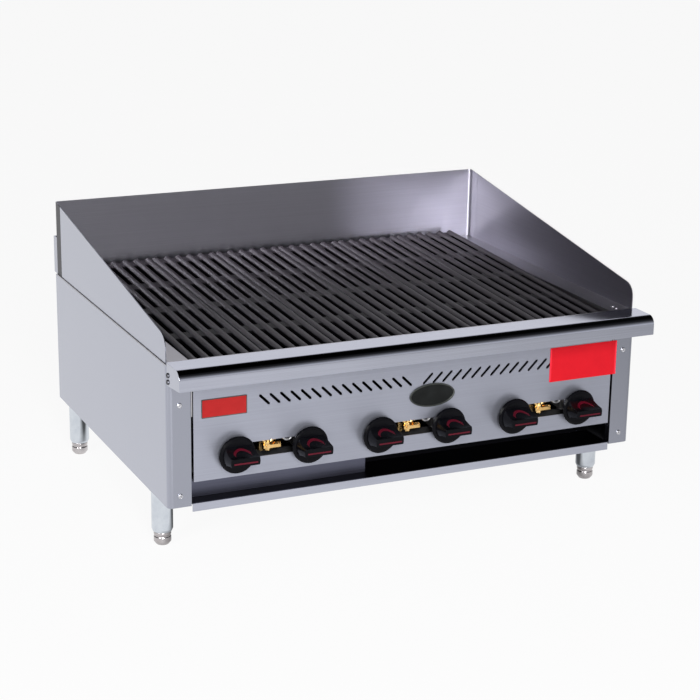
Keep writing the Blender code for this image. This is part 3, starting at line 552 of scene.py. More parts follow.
def discard(*pieces: Piece) -> None:
    """Removes pieces that were only patterns or cutters."""
    for piece in pieces:
        bpy.data.objects.remove(piece)


def merge(pieces: list[Piece], name: str) -> Piece:
    """Joins pieces into the first of them."""
    hold(*pieces)
    bpy.ops.object.join()
    return settle(name)


def soften(piece: Piece, edge: Rounding) -> None:
    """Rounds the sharp edges and smooths the shading."""
    modify(piece, "BEVEL", width=edge.width, segments=edge.steps, limit_method="ANGLE",
                 angle_limit=math.radians(edge.angle), use_clamp_overlap=True)
    smooth(piece, edge.angle)
    modify(piece, "WEIGHTED_NORMAL", weight=NORMAL_WEIGHT, keep_sharp=True)


def smooth(piece: Piece, angle: float) -> None:
    """Smooth shading with sharp edges kept past an angle in degrees."""
    hold(piece)
    bpy.ops.object.shade_smooth_by_angle(angle=math.radians(angle))


def outward(piece: Piece) -> None:
    """Merges doubled points and turns the faces outwards."""
    pick(piece, Part.VERTS)
    bpy.ops.mesh.remove_doubles(threshold=WELD)
    bpy.ops.mesh.normals_make_consistent(inside=False)
    clear()


def twin(piece: Piece, name: str, shift: Iterable[float]) -> Piece:
    """Copies a piece with its own mesh, moved by a shift."""
    hold(piece)
    bpy.ops.object.duplicate(linked=False)
    bpy.context.view_layer.objects.active.location = Vector(shift)
    return settle(name)


def turned(name: str, profile: list[Span], steps: int) -> Piece:
    """Spins a profile round the Z axis.

    Args:
        name: the piece's name.
        profile: points of radius and height, from the axis back to the axis.
        steps: steps of the full turn.

    Returns:
        The closed piece.
    """
    piece = chain(name, [(radius, 0.0, height) for radius, height in profile])
    pick(piece, Part.VERTS)
    bpy.ops.mesh.spin(steps=steps, angle=FULL_TURN, center=ORIGIN, axis=UP)
    outward(piece)
    return piece


def chain(name: str, points: list[Point]) -> Piece:
    """Draws a chain of edges by extruding one point on.

    Args:
        name: the piece's name.
        points: the chain's points.

    Returns:
        The piece, edges only.
    """
    clear()
    bpy.ops.mesh.primitive_plane_add(size=1, location=points[0])
    piece = settle(name)
    pick(piece, Part.VERTS)
    bpy.ops.mesh.merge(type="CENTER")
    for start, end in zip(points, points[1:]):
        step = Vector(end) - Vector(start)
        bpy.ops.mesh.extrude_vertices_move(TRANSFORM_OT_translate={"value": step})
    clear()
    return piece


def bevel(piece: Piece, test: Test, width: float, steps: int) -> None:
    """Rounds the edges that pass a test and stays in edit mode."""
    pick(piece, Part.EDGES, test)
    bpy.ops.mesh.bevel(offset=width, segments=steps, affect="EDGES")


def wear(piece: Piece, *materials: bpy.types.Material) -> None:
    """Gives a piece its materials, the first one on every face."""
    piece.data.materials.clear()
    for material in materials:
        piece.data.materials.append(material)


def paint(piece: Piece, slot: int, test: Test) -> None:
    """Puts another of a piece's materials on the faces that pass a test."""
    for face in piece.data.polygons:
        if test(Vector(face.center), Vector(face.normal)):
            face.material_index = slot


def mount(piece: Piece, body: str, slot: str, *nodes: str) -> None:
    """Hands a finished piece to its body.

    Args:
        piece: the finished piece.
        body: the CAD body that it rides on.
        slot: the record's material slot; not used.
        nodes: the CAD nodes that it stands for.
    """
    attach(piece, body)
    if nodes:
        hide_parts(*nodes)
    LOG.info("%s rides on %s, %d faces", piece.name, body, len(piece.data.polygons))


@dataclass
class Assembly:
    """A group of pieces that wear the shared finishes."""

    finishes: Finishes

    def issue(self, pattern: Piece, name: str, place: Iterable[float], look: Look, body: str, slot: str,
              *nodes: str) -> None:
        """Sets a dressed copy of a pattern in its place.

        Args:
            pattern: the piece to copy.
            name: the copy's name.
            place: how far the copy moves.
            look: its finish.
            body: the CAD body that it rides on.
            slot: the record's material slot.
            nodes: the CAD nodes that it stands for.
        """
        piece = twin(pattern, name, place)
        wear(piece, self.finishes[look])
        mount(piece, body, slot, *nodes)


@dataclass
class SheetBody(Assembly):
    """The folded sheets, the firebox and the gas line, which keep their solids."""

    def dress(self) -> None:
        """Gives each carried-over solid its finish."""
        wardrobe = {
            Look.SIDE: ["side_panel_left", "side_panel_right", "splash_left", "back_panel", "rear_channel"],
            Look.FRONT: ["control_panel"],
            Look.PAN: ["bottom_pan"],
            Look.SPLASH: ["splash_back"],
            Look.SIDE_SPLASH: ["splash_right"],
            Look.LINER: ["liner_left", "liner_right", "liner_front", "liner_rear", "burner_rest"],
            Look.TRAY: ["drip_tray_left"],
            Look.TRAY_BLACK: ["drip_tray_right"],
            Look.RADIANT: ["radiant_%d" % number for number in STATIONS],
            Look.BURNER: ["burner_%d" % number for number in STATIONS],
            Look.VALVE: ["valve_%d" % number for number in STATIONS],
            Look.PIPE: ["manifold_pipe", "gas_inlet"],
        }
        for look, names in wardrobe.items():
            for name in names:
                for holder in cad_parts[name].material_slots:
                    holder.material = self.finishes[look]
                LOG.info("%s wears %s", name, look.value.name)


@dataclass
class FrontRail(Assembly):
    """Bull-nosed landing rail, hollow and open below."""

    nose: float = 0.016
    nose_steps: int = 16
    face_rise: float = 0.0055
    lip: float = 0.0145
    sheet: float = 0.0015
    downward: float = -0.5
    edge: Rounding = Rounding(0.0005, 2, 40.0)

    def build(self) -> None:
        """Models the rail from a block in the solid's place."""
        low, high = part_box("front_rail")
        rail = block("front_rail_shell", low, high)

        def front_edge(height: float) -> Test:
            """Test for the front edge at one height."""
            return lambda m, n: near(m.y, low.y) and near(m.z, height)

        pick(rail, Part.EDGES, front_edge(low.z))
        bpy.ops.transform.translate(value=(0, 0, self.face_rise))
        pick(rail, Part.EDGES, front_edge(high.z))
        bpy.ops.mesh.bevel(offset=self.nose, offset_type="OFFSET", segments=self.nose_steps, affect="EDGES")
        pick(rail, Part.FACES, lambda m, n: n.z < self.downward)
        bpy.ops.mesh.delete(type="ONLY_FACE")
        pick(rail, Part.EDGES, front_edge(low.z + self.face_rise))
        bpy.ops.mesh.extrude_edges_move(TRANSFORM_OT_translate={"value": (0, self.lip, 0)})
        clear()
        modify(rail, "SOLIDIFY", thickness=self.sheet, offset=-1, use_even_offset=True)
        soften(rail, self.edge)
        wear(rail, self.finishes[Look.RAIL])
        mount(rail, CHASSIS, "stainless", "front_rail")


@dataclass
class GrateSet(Assembly):
    """Cast grates: crowned bars, joined by lower ribs between the slots."""

    tilt: float = math.radians(2.353)
    thickness: float = 0.020
    columns: int = 5
    rows: int = 4
    slot_width: float = 0.0098
    slot_end_steps: int = 4
    rib: float = 0.028
    front_margin: float = 0.010
    rear_margin: float = 0.026
    valley: float = 0.0044
    crown: float = 2.1
    crown_shares: tuple[float, ...] = (1.0, 0.88, 0.74, 0.58, 0.40, 0.20)
    # Soot with painted shade in the valleys, starting higher towards the front.
    soot_and_shade_start: float = 0.0014
    soot_and_shade_rise: float = 0.0020
    soot_and_shade_depth: float = 0.0034
    edge: Rounding = Rounding(0.0009, 2, 38.0)

    def bar_profile(self, width: float) -> list[Span]:
        """Top line of one bar.

        Args:
            width: the bar's width.

        Returns:
            Points across the bar and their drop below the crown.
        """
        half = width / 2
        flank = [(share, self.valley * share ** self.crown) for share in self.crown_shares]
        left = [(-share * half, drop) for share, drop in flank]
        right = [(share * half, drop) for share, drop in reversed(flank)]
        return left + [(0.0, 0.0)] + right

    def casting(self, width: float, length: float) -> Piece:
        """Models one grate flat, its front lower edge on the X axis.

        Args:
            width: the grate's width.
            length: the grate's length.

        Returns:
            The piece.
        """
        pitch = (width + self.slot_width) / (self.columns + 1)
        bar = pitch - self.slot_width
        line = []
        for index in range(self.columns + 1):
            centre = (index - self.columns / 2) * pitch
            line += [(centre + across, 0.0, self.thickness - drop) for across, drop in self.bar_profile(bar)]
        piece = chain("grate_casting", line)
        pick(piece, Part.EDGES)
        bpy.ops.mesh.extrude_edges_move(TRANSFORM_OT_translate={"value": (0, length, 0)})
        pick(piece, Part.FACES)
        bpy.ops.mesh.extrude_region_move(TRANSFORM_OT_translate={"value": (0, 0, -self.thickness)})
        bpy.ops.transform.resize(value=(1, 1, 0), center_override=ORIGIN)
        outward(piece)
        cut(piece, self.slot_cutter(pitch, length))
        outward(piece)
        for depth in (self.soot_and_shade_start, self.soot_and_shade_start + self.soot_and_shade_rise + self.soot_and_shade_depth):
            pick(piece, Part.FACES)
            bpy.ops.mesh.bisect(plane_co=(0, 0, self.thickness - depth), plane_no=UP)
        clear()
        soften(piece, self.edge)
        self.blacken(piece, length)
        return piece

    def blacken(self, piece: Piece, length: float) -> None:
        """Marks each point's soot and painted shade, which start higher on the bars towards the front."""
        soot_and_shade = piece.data.attributes.new(SOOT_AND_SHADE, "FLOAT", "POINT")
        for vert, value in zip(piece.data.vertices, soot_and_shade.data):
            start = self.soot_and_shade_start + self.soot_and_shade_rise * vert.co.y / length
            value.value = min(1.0, max(0.0, (self.thickness - vert.co.z - start) / self.soot_and_shade_depth))

    def slot_cutter(self, pitch: float, length: float) -> Piece:
        """Models the block of round-ended bars that cuts the slots.

        Args:
            pitch: spacing of the slot columns.
            length: the grate's length.

        Returns:
            The cutter.
        """
        room = length - self.front_margin - self.rear_margin - (self.rows - 1) * self.rib
        slot = room / self.rows
        start = -(self.columns - 1) / 2 * pitch
        half = self.slot_width / 2
        cutter = block("slot_cutter", (start - half, self.front_margin, -self.thickness),
                             (start + half, self.front_margin + slot, 2 * self.thickness))
        bevel(cutter, lambda m, n: abs(n.z) > self.thickness, half, self.slot_end_steps)
        outward(cutter)
        array(cutter, self.columns, (pitch, 0, 0))
        array(cutter, self.rows, (0, slot + self.rib, 0))
        return cutter

    def build(self) -> None:
        """Models one grate and sets a copy in the place of each solid."""
        low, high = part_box("grate_1")
        front = low.y + self.thickness * math.sin(self.tilt)
        length = (high.y - front) / math.cos(self.tilt)
        pattern = self.casting(high.x - low.x, length)
        pattern.data.transform(Matrix.Rotation(self.tilt, 4, "X"))
        for number in STATIONS:
            node = "grate_%d" % number
            place = (middle(node).x, front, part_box(node)[0].z)
            self.issue(pattern, "cast_" + node, place, Look.GRATE, node, "grate", node)
        discard(pattern)


@dataclass
class KnobRow(Assembly):
    """Black knobs: a skirt, a bar grip between two scoops, red marks."""

    radius: float = 0.0335
    back_radius: float = 0.0275
    skirt: float = 0.012
    skirt_fall: float = 0.0003
    dome: float = 0.0055
    dome_shoulder: Span = (0.4, 0.2)
    dome_rim: float = 0.7
    chamfer: float = 0.003
    grip_tip: float = 0.0265
    grip_base: float = 0.0285
    grip_length: float = 0.036
    bar_front: float = 0.007
    bar_base: float = 0.0175
    scoop_reach: float = 1.2
    scoop_floor: float = 0.0005
    scoop_sides: int = 160
    stem: float = 0.004
    stem_length: float = 0.033
    turn_steps: int = 72
    edge: Rounding = Rounding(0.0011, 3, 30.0)
    arc_radius: float = 0.027
    arc_width: float = 0.0024
    arc_drop: float = 0.0137
    arc_half_angle: float = math.radians(34)
    arc_cuts: int = 3
    arc_steps: int = 40
    line_length: float = 0.043
    line_width: float = 0.0026
    line_drop: float = 0.0018
    line_cells: tuple[int, int] = (24, 3)
    print_depth: float = 0.00015
    print_angle: float = 50.0

    def body(self) -> Piece:
        """Models one knob on the Z axis, its back at z = 0 and the bar along X.

        Returns:
            The piece.
        """
        top = self.skirt + self.grip_length
        ease = self.chamfer / 2
        across, down = self.dome_shoulder
        profile = [(0, top), (self.grip_tip - ease, top), (self.grip_tip, top - ease),
                   (self.grip_base, self.skirt), (self.radius - self.dome, self.skirt - self.skirt_fall),
                   (self.radius - across * self.dome, self.skirt - down * self.dome),
                   (self.radius, self.skirt - self.dome_rim * self.dome), (self.back_radius, 0),
                   (self.stem, 0), (self.stem, -self.stem_length), (0, -self.stem_length)]
        knob = turned("knob_body", profile, self.turn_steps)
        depth = self.bar_base - self.bar_front
        scoop = (self.grip_length ** 2 + depth ** 2) / (2 * depth)
        reach = self.radius * self.scoop_reach
        for side in (-1, 1):
            centre = side * (self.bar_front + scoop)
            cutter = rod("scoop_cutter", (-reach, centre, top), (reach, centre, top), scoop,
                               self.scoop_sides)
            pick(cutter, Part.VERTS)
            bpy.ops.mesh.bisect(plane_co=(0, 0, self.skirt + self.scoop_floor), plane_no=UP, use_fill=True,
                                clear_inner=True)
            clear()
            cut(knob, cutter)
        outward(knob)
        soften(knob, self.edge)
        return knob

    def marks(self, knob: Piece) -> Piece:
        """Models the red arc laid on the upper scoop and the red line on the bar.

        Args:
            knob: the knob that the marks lie on.

        Returns:
            The marks as one piece.
        """
        above = self.skirt + self.grip_length + self.chamfer
        inner = self.arc_radius - self.arc_width / 2
        start = QUARTER_TURN + self.arc_half_angle
        arc = chain("knob_arc", [(radius * math.cos(start), radius * math.sin(start), above)
                                       for radius in (inner, inner + self.arc_width)])
        pick(arc, Part.EDGES)
        bpy.ops.mesh.subdivide(number_cuts=self.arc_cuts)
        bpy.ops.mesh.spin(steps=self.arc_steps, angle=2 * self.arc_half_angle, center=ORIGIN, axis=UP)
        bpy.ops.mesh.select_all(action="SELECT")
        bpy.ops.transform.translate(value=(0, -self.arc_drop, 0))
        outward(arc)
        clear()
        bpy.ops.mesh.primitive_grid_add(x_subdivisions=self.line_cells[0], y_subdivisions=self.line_cells[1],
                                        size=1, location=(0, -self.line_drop, above))
        bpy.context.view_layer.objects.active.scale = (self.line_length, self.line_width, 1)
        line = settle("knob_line")
        ribbon = merge([arc, line], "knob_marks")
        modify(ribbon, "SHRINKWRAP", target=knob, wrap_method="PROJECT", use_project_z=True,
                     use_negative_direction=True, use_positive_direction=False, offset=self.print_depth)
        modify(ribbon, "SOLIDIFY", thickness=self.print_depth * 2, offset=0)
        outward(ribbon)
        smooth(ribbon, self.print_angle)
        return ribbon

    def build(self) -> None:
        """Models one knob and sets a copy in the place of each solid."""
        knob = self.body()
        marks = self.marks(knob)
        for piece in (knob, marks):
            piece.data.transform(Matrix.Rotation(QUARTER_TURN, 4, "X"))
        for number in STATIONS:
            node = "knob_%d" % number
            centre = middle(node)
            place = (centre.x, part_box(node)[1].y - self.stem_length, centre.z)
            self.issue(knob, "moulded_" + node, place, Look.KNOB, node, "knob", node)
            self.issue(marks, node + "_marks", place, Look.KNOB_MARK, node, "knob")
        discard(knob, marks)


@dataclass
class PilotRow(Assembly):
    """Brass twin pilot valves with hex bodies and arms, and their aluminium tubes."""

    hex_sides: int = 6
    round_sides: int = 20
    edge: Rounding = Rounding(0.0005, 2, 25.0)
    body_radius: float = 0.0075
    body_height: float = 0.020
    body_top: float = 0.6
    cap_foot: float = 0.5
    cap_radius: float = 0.7
    nose_reach: float = 1.05
    nose_drop: float = 0.2
    nose_radius: float = 0.55
    arm_radius: float = 0.0042
    arm_length: float = 0.021
    arm_angle: float = math.radians(42)
    arm_end: float = 0.001
    nut_radius: float = 0.0062
    nut_length: float = 0.006
    bar_left: float = 0.009
    bar_right: float = 0.023
    bar_drop: float = 0.003
    bar_radius: float = 0.0062
    link_radius: float = 0.0045
    link_length: float = 0.031
    stem_radius: float = 0.0055
    stem_drop: float = 0.02035
    tube_radius: float = 0.0024
    tube_rise: float = 0.012
    tube_reach: float = 0.124
    tube_spread: float = 0.030
    tube_roundness: int = 3
    tube_angle: float = 50.0
    knee_shares: Span = (0.7, 0.1)
    sag_x: float = 0.036
    sag_z: float = 0.005
    sag_half: float = 0.010
    sag_lift: float = 0.009
    sag_shares: Point = (0.4, 0.7, 0.8)

    def brass(self) -> Piece:
        """Models one valve round the middle of its body.

        Returns:
            The piece.
        """
        half, radius, back, drop = self.body_height / 2, self.body_radius, self.link_length, -self.bar_drop
        level = -half * self.nose_drop
        hexes = [("pilot_body", (0, 0, -half), (0, 0, half * self.body_top), radius),
                 ("pilot_bar", (-self.bar_left, 0, drop), (self.bar_right, 0, drop), self.bar_radius)]
        rounds = [("pilot_cap", (0, 0, half * self.cap_foot), (0, 0, half), radius * self.cap_radius),
                  ("pilot_link", ORIGIN, (0, back, 0), self.link_radius),
                  ("pilot_stem", (0, back, 0), (0, back, -self.stem_drop), self.stem_radius),
                  ("pilot_nose", (0, -radius * self.nose_reach, level), (0, 0, level),
                   radius * self.nose_radius)]
        for side in HANDS.values():
            way = Vector((side * math.sin(self.arm_angle), 0, math.cos(self.arm_angle)))
            end = way * (self.arm_length - self.arm_end)
            rounds.append(("pilot_arm", ORIGIN, way * self.arm_length, self.arm_radius))
            hexes.append(("pilot_nut", end - way * self.nut_length, end, self.nut_radius))
        solids = [rod(*row, self.hex_sides) for row in hexes]
        solids += [rod(*row, self.round_sides) for row in rounds]
        for solid in solids:
            soften(solid, self.edge)
        return merge(solids, "pilot_brass")

    def route(self, side: int) -> list[Vector]:
        """Points of one tube, from its arm back towards the burner.

        Args:
            side: -1 for the left tube, 1 for the right one, which sags into the window.

        Returns:
            The points.
        """
        reach = self.arm_length - self.tube_radius
        start = Vector((side * reach * math.sin(self.arm_angle), 0, reach * math.cos(self.arm_angle)))
        knee = start + Vector((side * self.tube_rise * math.tan(self.arm_angle), 0, self.tube_rise))
        sweep = knee + Vector((side * self.tube_spread / 2, self.tube_reach / 2, 0))
        end = knee + Vector((side * self.tube_spread, self.tube_reach, 0))
        if side < 0:
            before, after = self.knee_shares
            return [start, start.lerp(knee, before), knee.lerp(sweep, after), sweep, end]
        low = Vector((self.sag_x, -self.tube_radius, self.sag_z))
        aside = Vector((self.sag_half, 0, 0))
        lift = Vector((0, 0, self.sag_lift))
        fall, flat, run = self.sag_shares
        return [start, start.lerp(low, fall) + lift, low - aside * flat, low, low + aside * flat,
                low + aside + lift, end - Vector((0, self.tube_reach * run, 0)), end]

    def tubes(self) -> Piece:
        """Bends the two tubes from the arms back towards the burners.

        Returns:
            The piece.
        """
        runs = []
        for side in HANDS.values():
            route = self.route(side)
            clear()
            bpy.ops.curve.primitive_nurbs_path_add(location=ORIGIN)
            path = bpy.context.view_layer.objects.active
            spline = path.data.splines[0]
            spline.points.add(len(route) - len(spline.points))
            for knot, point in zip(spline.points, route):
                knot.co = (*point, 1)
            path.data.bevel_depth = self.tube_radius
            path.data.bevel_resolution = self.tube_roundness
            path.data.use_fill_caps = True
            bpy.ops.object.convert(target="MESH")
            runs.append(settle("pilot_tube"))
        pair = merge(runs, "pilot_tube_pair")
        outward(pair)
        smooth(pair, self.tube_angle)
        return pair

    def build(self) -> None:
        """Models one valve and sets a copy in the place of each solid."""
        brass = self.brass()
        tubes = self.tubes()
        height = middle("knob_1").z
        for number in PILOTS:
            node = "pilot_valve_%d" % number
            place = (middle(node).x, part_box(node)[0].y + self.body_radius, height)
            self.issue(brass, node + "_brass", place, Look.BRASS, CHASSIS, "brass", node)
            self.issue(tubes, node + "_tubes", place, Look.TUBE, CHASSIS, "brass", node)
        discard(brass, tubes)


@dataclass
class LegSet(Assembly):
    """Plated round legs with a flange at the top, and turned levelling feet."""

    radius: float = 0.019
    plate_radius: float = 0.023
    plate: float = 0.003
    tip_radius: float = 0.0165
    tip: float = 0.006
    bore: float = 0.0074
    bore_depth: float = 0.0453
    leg_edge: Rounding = Rounding(0.0008, 3, 25.0)
    foot_radius: float = 0.0155
    foot_height: float = 0.024
    toe_radius: float = 0.011
    toe: float = 0.006
    groove_depth: float = 0.0012
    groove_shares: tuple[float, ...] = (0.80, 0.74, 0.66, 0.60)
    foot_edge: Rounding = Rounding(0.0006, 2, 20.0)
    stem: float = 0.007
    steps: int = 64

    def leg(self, height: float) -> Piece:
        """Models one leg of a height, its lower end at z = 0."""
        under = height - self.plate
        profile = [(0, height), (self.plate_radius, height), (self.plate_radius, under), (self.radius, under),
                   (self.radius, self.tip), (self.tip_radius, 0), (self.bore, 0),
                   (self.bore, self.bore_depth), (0, self.bore_depth)]
        piece = turned("leg", profile, self.steps)
        soften(piece, self.leg_edge)
        return piece

    def foot(self, height: float) -> Piece:
        """Models one foot on the floor, with a turned groove and a plain stem up to a height."""
        radius, shoulder = self.foot_radius, self.foot_height
        groove = radius - self.groove_depth
        rings = zip((radius, groove, groove, radius), self.groove_shares)
        profile = [(0, height), (self.stem, height), (self.stem, shoulder), (radius, shoulder),
                   *((ring, shoulder * share) for ring, share in rings), (radius, self.toe),
                   (self.toe_radius, 0), (0, 0)]
        piece = turned("foot", profile, self.steps)
        soften(piece, self.foot_edge)
        return piece

    def build(self) -> None:
        """Models one leg and one foot and sets copies at the four corners."""
        low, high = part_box("leg_front_left")
        leg = self.leg(high.z - low.z)
        foot = self.foot(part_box("foot_front_left")[1].z)
        for end in ("front", "rear"):
            for hand in HANDS:
                corner = "%s_%s" % (end, hand)
                post, shoe = "leg_" + corner, "foot_" + corner
                x, y, _ = middle(post)
                self.issue(leg, "plated_" + post, (x, y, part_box(post)[0].z), Look.LEG, CHASSIS, "leg", post)
                self.issue(foot, "turned_" + shoe, (x, y, 0), Look.FOOT, shoe, "foot", shoe)
        discard(leg, foot)


@dataclass
class Fasteners(Assembly):
    """Pan-head screws on the flanges and rail ends, rivets on the right ledge."""

    head_radius: float = 0.0046
    head_height: float = 0.0022
    head_sides: int = 32
    head_round: float = 0.75
    head_steps: int = 5
    slot_width: float = 0.0011
    slot_length: float = 0.0056
    slot_depth: float = 0.0012
    rivet_radius: float = 0.0032
    rivet_height: float = 0.0014
    rivet_sides: int = 24
    rivet_round: float = 0.001
    rivet_steps: int = 4
    smooth_angle: float = 40.0
    flange_inset: float = 0.022
    upper_drop: float = 0.071
    lower_rise: float = 0.0205
    rail_inset: float = 0.0065
    rail_upper: float = 0.0190
    rail_lower: float = 0.0075
    rivet_inset: float = 0.022
    rivet_along: Span = (0.020, 0.032)

    def head(self, name: str, radius: float, height: float, sides: int, round_off: float,
             steps: int) -> Piece:
        """Models a round head on z = 0.

        Args:
            name: the piece's name.
            radius: the head's radius.
            height: the head's height.
            sides: number of sides.
            round_off: width of the rounding of its upper edge.
            steps: steps of the rounding.

        Returns:
            The piece.
        """
        piece = rod(name, ORIGIN, (0, 0, height), radius, sides)
        bevel(piece, lambda m, n: near(m.z, height) and abs(n.z) < LEVEL, round_off, steps)
        clear()
        return piece

    def screw(self) -> Piece:
        """Models one cross-slot screw head on z = 0.

        Returns:
            The piece.
        """
        head = self.head("screw", self.head_radius, self.head_height, self.head_sides,
                         self.head_height * self.head_round, self.head_steps)
        half, wide = self.slot_length / 2, self.slot_width / 2
        top, floor = self.head_height * 2, self.head_height - self.slot_depth
        for x, y in ((half, wide), (wide, half)):
            cut(head, block("slot_cutter", (-x, -y, floor), (x, y, top)))
        smooth(head, self.smooth_angle)
        return head

    def rivet(self) -> Piece:
        """Models one rivet head on z = 0."""
        head = self.head("rivet", self.rivet_radius, self.rivet_height, self.rivet_sides, self.rivet_round,
                         self.rivet_steps)
        smooth(head, self.smooth_angle)
        return head

    def places(self) -> dict[str, tuple[Point, Matrix]]:
        """Where each fastener sits.

        Returns:
            A seat and a turn for each fastener's name.
        """
        to_front = Matrix.Rotation(QUARTER_TURN, 4, "X")
        rail_low, rail_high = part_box("front_rail")
        seats = {}
        for hand, side in HANDS.items():
            low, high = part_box("side_panel_" + hand)
            x = side * (max(abs(low.x), abs(high.x)) - self.flange_inset)
            seats["flange_screw_upper_" + hand] = ((x, low.y, high.z - self.upper_drop), to_front)
            seats["flange_screw_lower_" + hand] = ((x, low.y, low.z + self.lower_rise), to_front)
            to_side = Matrix.Rotation(QUARTER_TURN * side, 4, "Y")
            end = rail_high.x if side > 0 else rail_low.x
            for level, rise in (("upper", self.rail_upper), ("lower", self.rail_lower)):
                name = "rail_screw_%s_%s" % (level, hand)
                seats[name] = ((end, rail_high.y - self.rail_inset, rail_low.z + rise), to_side)
        ledge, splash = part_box("liner_right"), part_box("splash_right")
        for number, along in enumerate(self.rivet_along, 1):
            seat = (splash[1].x - self.rivet_inset, splash[0].y + along, ledge[1].z)
            seats["ledge_rivet_right_%d" % number] = (seat, Matrix.Identity(4))
        return seats

    def build(self) -> None:
        """Models one screw and one rivet and sets a copy in each place."""
        screw, rivet = self.screw(), self.rivet()
        kinds = {"flange": (screw, Look.SCREW), "rail": (screw, Look.RAIL_SCREW),
                 "ledge": (rivet, Look.LINER)}
        for name, (seat, turn) in self.places().items():
            pattern, look = kinds[name.split("_")[0]]
            piece = twin(pattern, name, ORIGIN)
            piece.data.transform(Matrix.Translation(seat) @ turn)
            wear(piece, self.finishes[look])
            mount(piece, CHASSIS, "stainless")
        discard(screw, rivet)


@dataclass
class BarePlates(Assembly):
    """The red plate, the oval badge and the sticker of the front, all left bare."""

    plate_x: Span = (-0.396, -0.314)
    plate_z: Span = (0.260, 0.293)
    plate_depth: float = 0.0012
    plate_border: float = 0.0013
    plate_step: float = 0.0003
    plate_corner: float = 0.0012
    sticker_x: Span = (0.279, 0.4205)
    sticker_z: Span = (0.243, 0.308)
    sticker_depth: float = 0.0005
    sticker_border: float = 0.0032
    sticker_step: float = 0.00005
    sticker_corner: float = 0.001
    corner_steps: int = 4
    corner_angle: float = 30.0
    border_share: float = 1.1
    badge_centre: Span = (0.039, 0.249)
    badge_size: Span = (0.089, 0.043)
    badge_depth: float = 0.0026
    badge_rim: float = 0.0022
    badge_slope: float = 0.0006
    badge_sink: float = 0.0008
    badge_sides: int = 96
    badge_edge: Rounding = Rounding(0.0004, 2, 30.0)

    def framed(self, name: str, low: Point, high: Point, border: float, step: float, corner: float) -> Piece:
        """Models a thin plate with a border round its front face.

        Args:
            name: the piece's name.
            low: lowest corner.
            high: highest corner.
            border: width of the border.
            step: how far the middle sinks behind the border.
            corner: radius of the four corners.

        Returns:
            The piece.
        """
        plate = block(name, low, high)
        pick(plate, Part.FACES, faces_front)
        bpy.ops.mesh.inset(thickness=border, depth=-step)
        bevel(plate, lambda m, n: abs(n.y) > abs(n.x) + abs(n.z), corner, self.corner_steps)
        clear()
        smooth(plate, self.corner_angle)
        return plate

    def within(self, span: Span, border: float) -> Span:
        """What a border leaves of a span."""
        return span[0] + border * self.border_share, span[1] - border * self.border_share

    def finish(self, piece: Piece, rim: Look, middle_look: Look, test: Test) -> None:
        """Gives a plate its rim and the finish of the front faces that pass a test."""
        wear(piece, self.finishes[rim], self.finishes[middle_look])
        paint(piece, 1, lambda m, n: faces_front(m, n) and test(m, n))
        mount(piece, CHASSIS, "stainless")

    def build(self) -> None:
        """Models the three plates on the control panel and the flange beside it."""
        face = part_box("control_panel")[0].y
        (left, right), (low, high) = self.plate_x, self.plate_z
        plate = self.framed("red_plate", (left, face - self.plate_depth, low), (right, face, high),
                            self.plate_border, self.plate_step, self.plate_corner)
        wide, tall = (self.within(span, self.plate_border) for span in (self.plate_x, self.plate_z))
        self.finish(plate, Look.BADGE_RIM, Look.PLATE_RED,
                    lambda m, n: wide[0] < m.x < wide[1] and tall[0] < m.z < tall[1])

        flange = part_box("side_panel_right")[0].y
        (left, right), (low, high) = self.sticker_x, self.sticker_z
        sticker = self.framed("red_sticker", (left, flange - self.sticker_depth, low), (right, flange, high),
                              self.sticker_border, self.sticker_step, self.sticker_corner)
        inner = self.within(self.sticker_x, self.sticker_border)
        self.finish(sticker, Look.STICKER_EDGE, Look.STICKER_RED, lambda m, n: inner[0] < m.x < inner[1])

        x, z = self.badge_centre
        oval = Matrix.Diagonal((self.badge_size[0], 1.0, self.badge_size[1], 1))
        badge = rod("oval_badge", ORIGIN, (0, -self.badge_depth, 0), 0.5, self.badge_sides)
        badge.data.transform(Matrix.Translation((x, face, z)) @ oval)
        pick(badge, Part.FACES, faces_front)
        bpy.ops.mesh.inset(thickness=self.badge_rim, depth=0)
        bpy.ops.mesh.inset(thickness=self.badge_slope, depth=-self.badge_sink)
        clear()
        soften(badge, self.badge_edge)
        sunk = face - self.badge_depth + self.badge_sink / 2
        self.finish(badge, Look.BADGE_RIM, Look.BADGE_BLACK, lambda m, n: m.y > sunk)


@dataclass(frozen=True)
class SoftBox:
    """One rectangular lamp that the camera doesn't see."""

    name: str
    place: Point
    aim: Point
    size: Span
    watts: float

    def hang(self) -> None:
        """Adds the lamp to the scene."""
        light = bpy.data.lights.new(self.name, "AREA")
        light.shape = "RECTANGLE"
        light.size, light.size_y = self.size
        light.energy = self.watts
        lamp = bpy.data.objects.new(self.name, light)
        lamp.location = self.place
        lamp.rotation_euler = (Vector(self.aim) - Vector(self.place)).to_track_quat("-Z", "Y").to_euler()
        lamp.visible_camera = False
        bpy.context.scene.collection.objects.link(lamp)


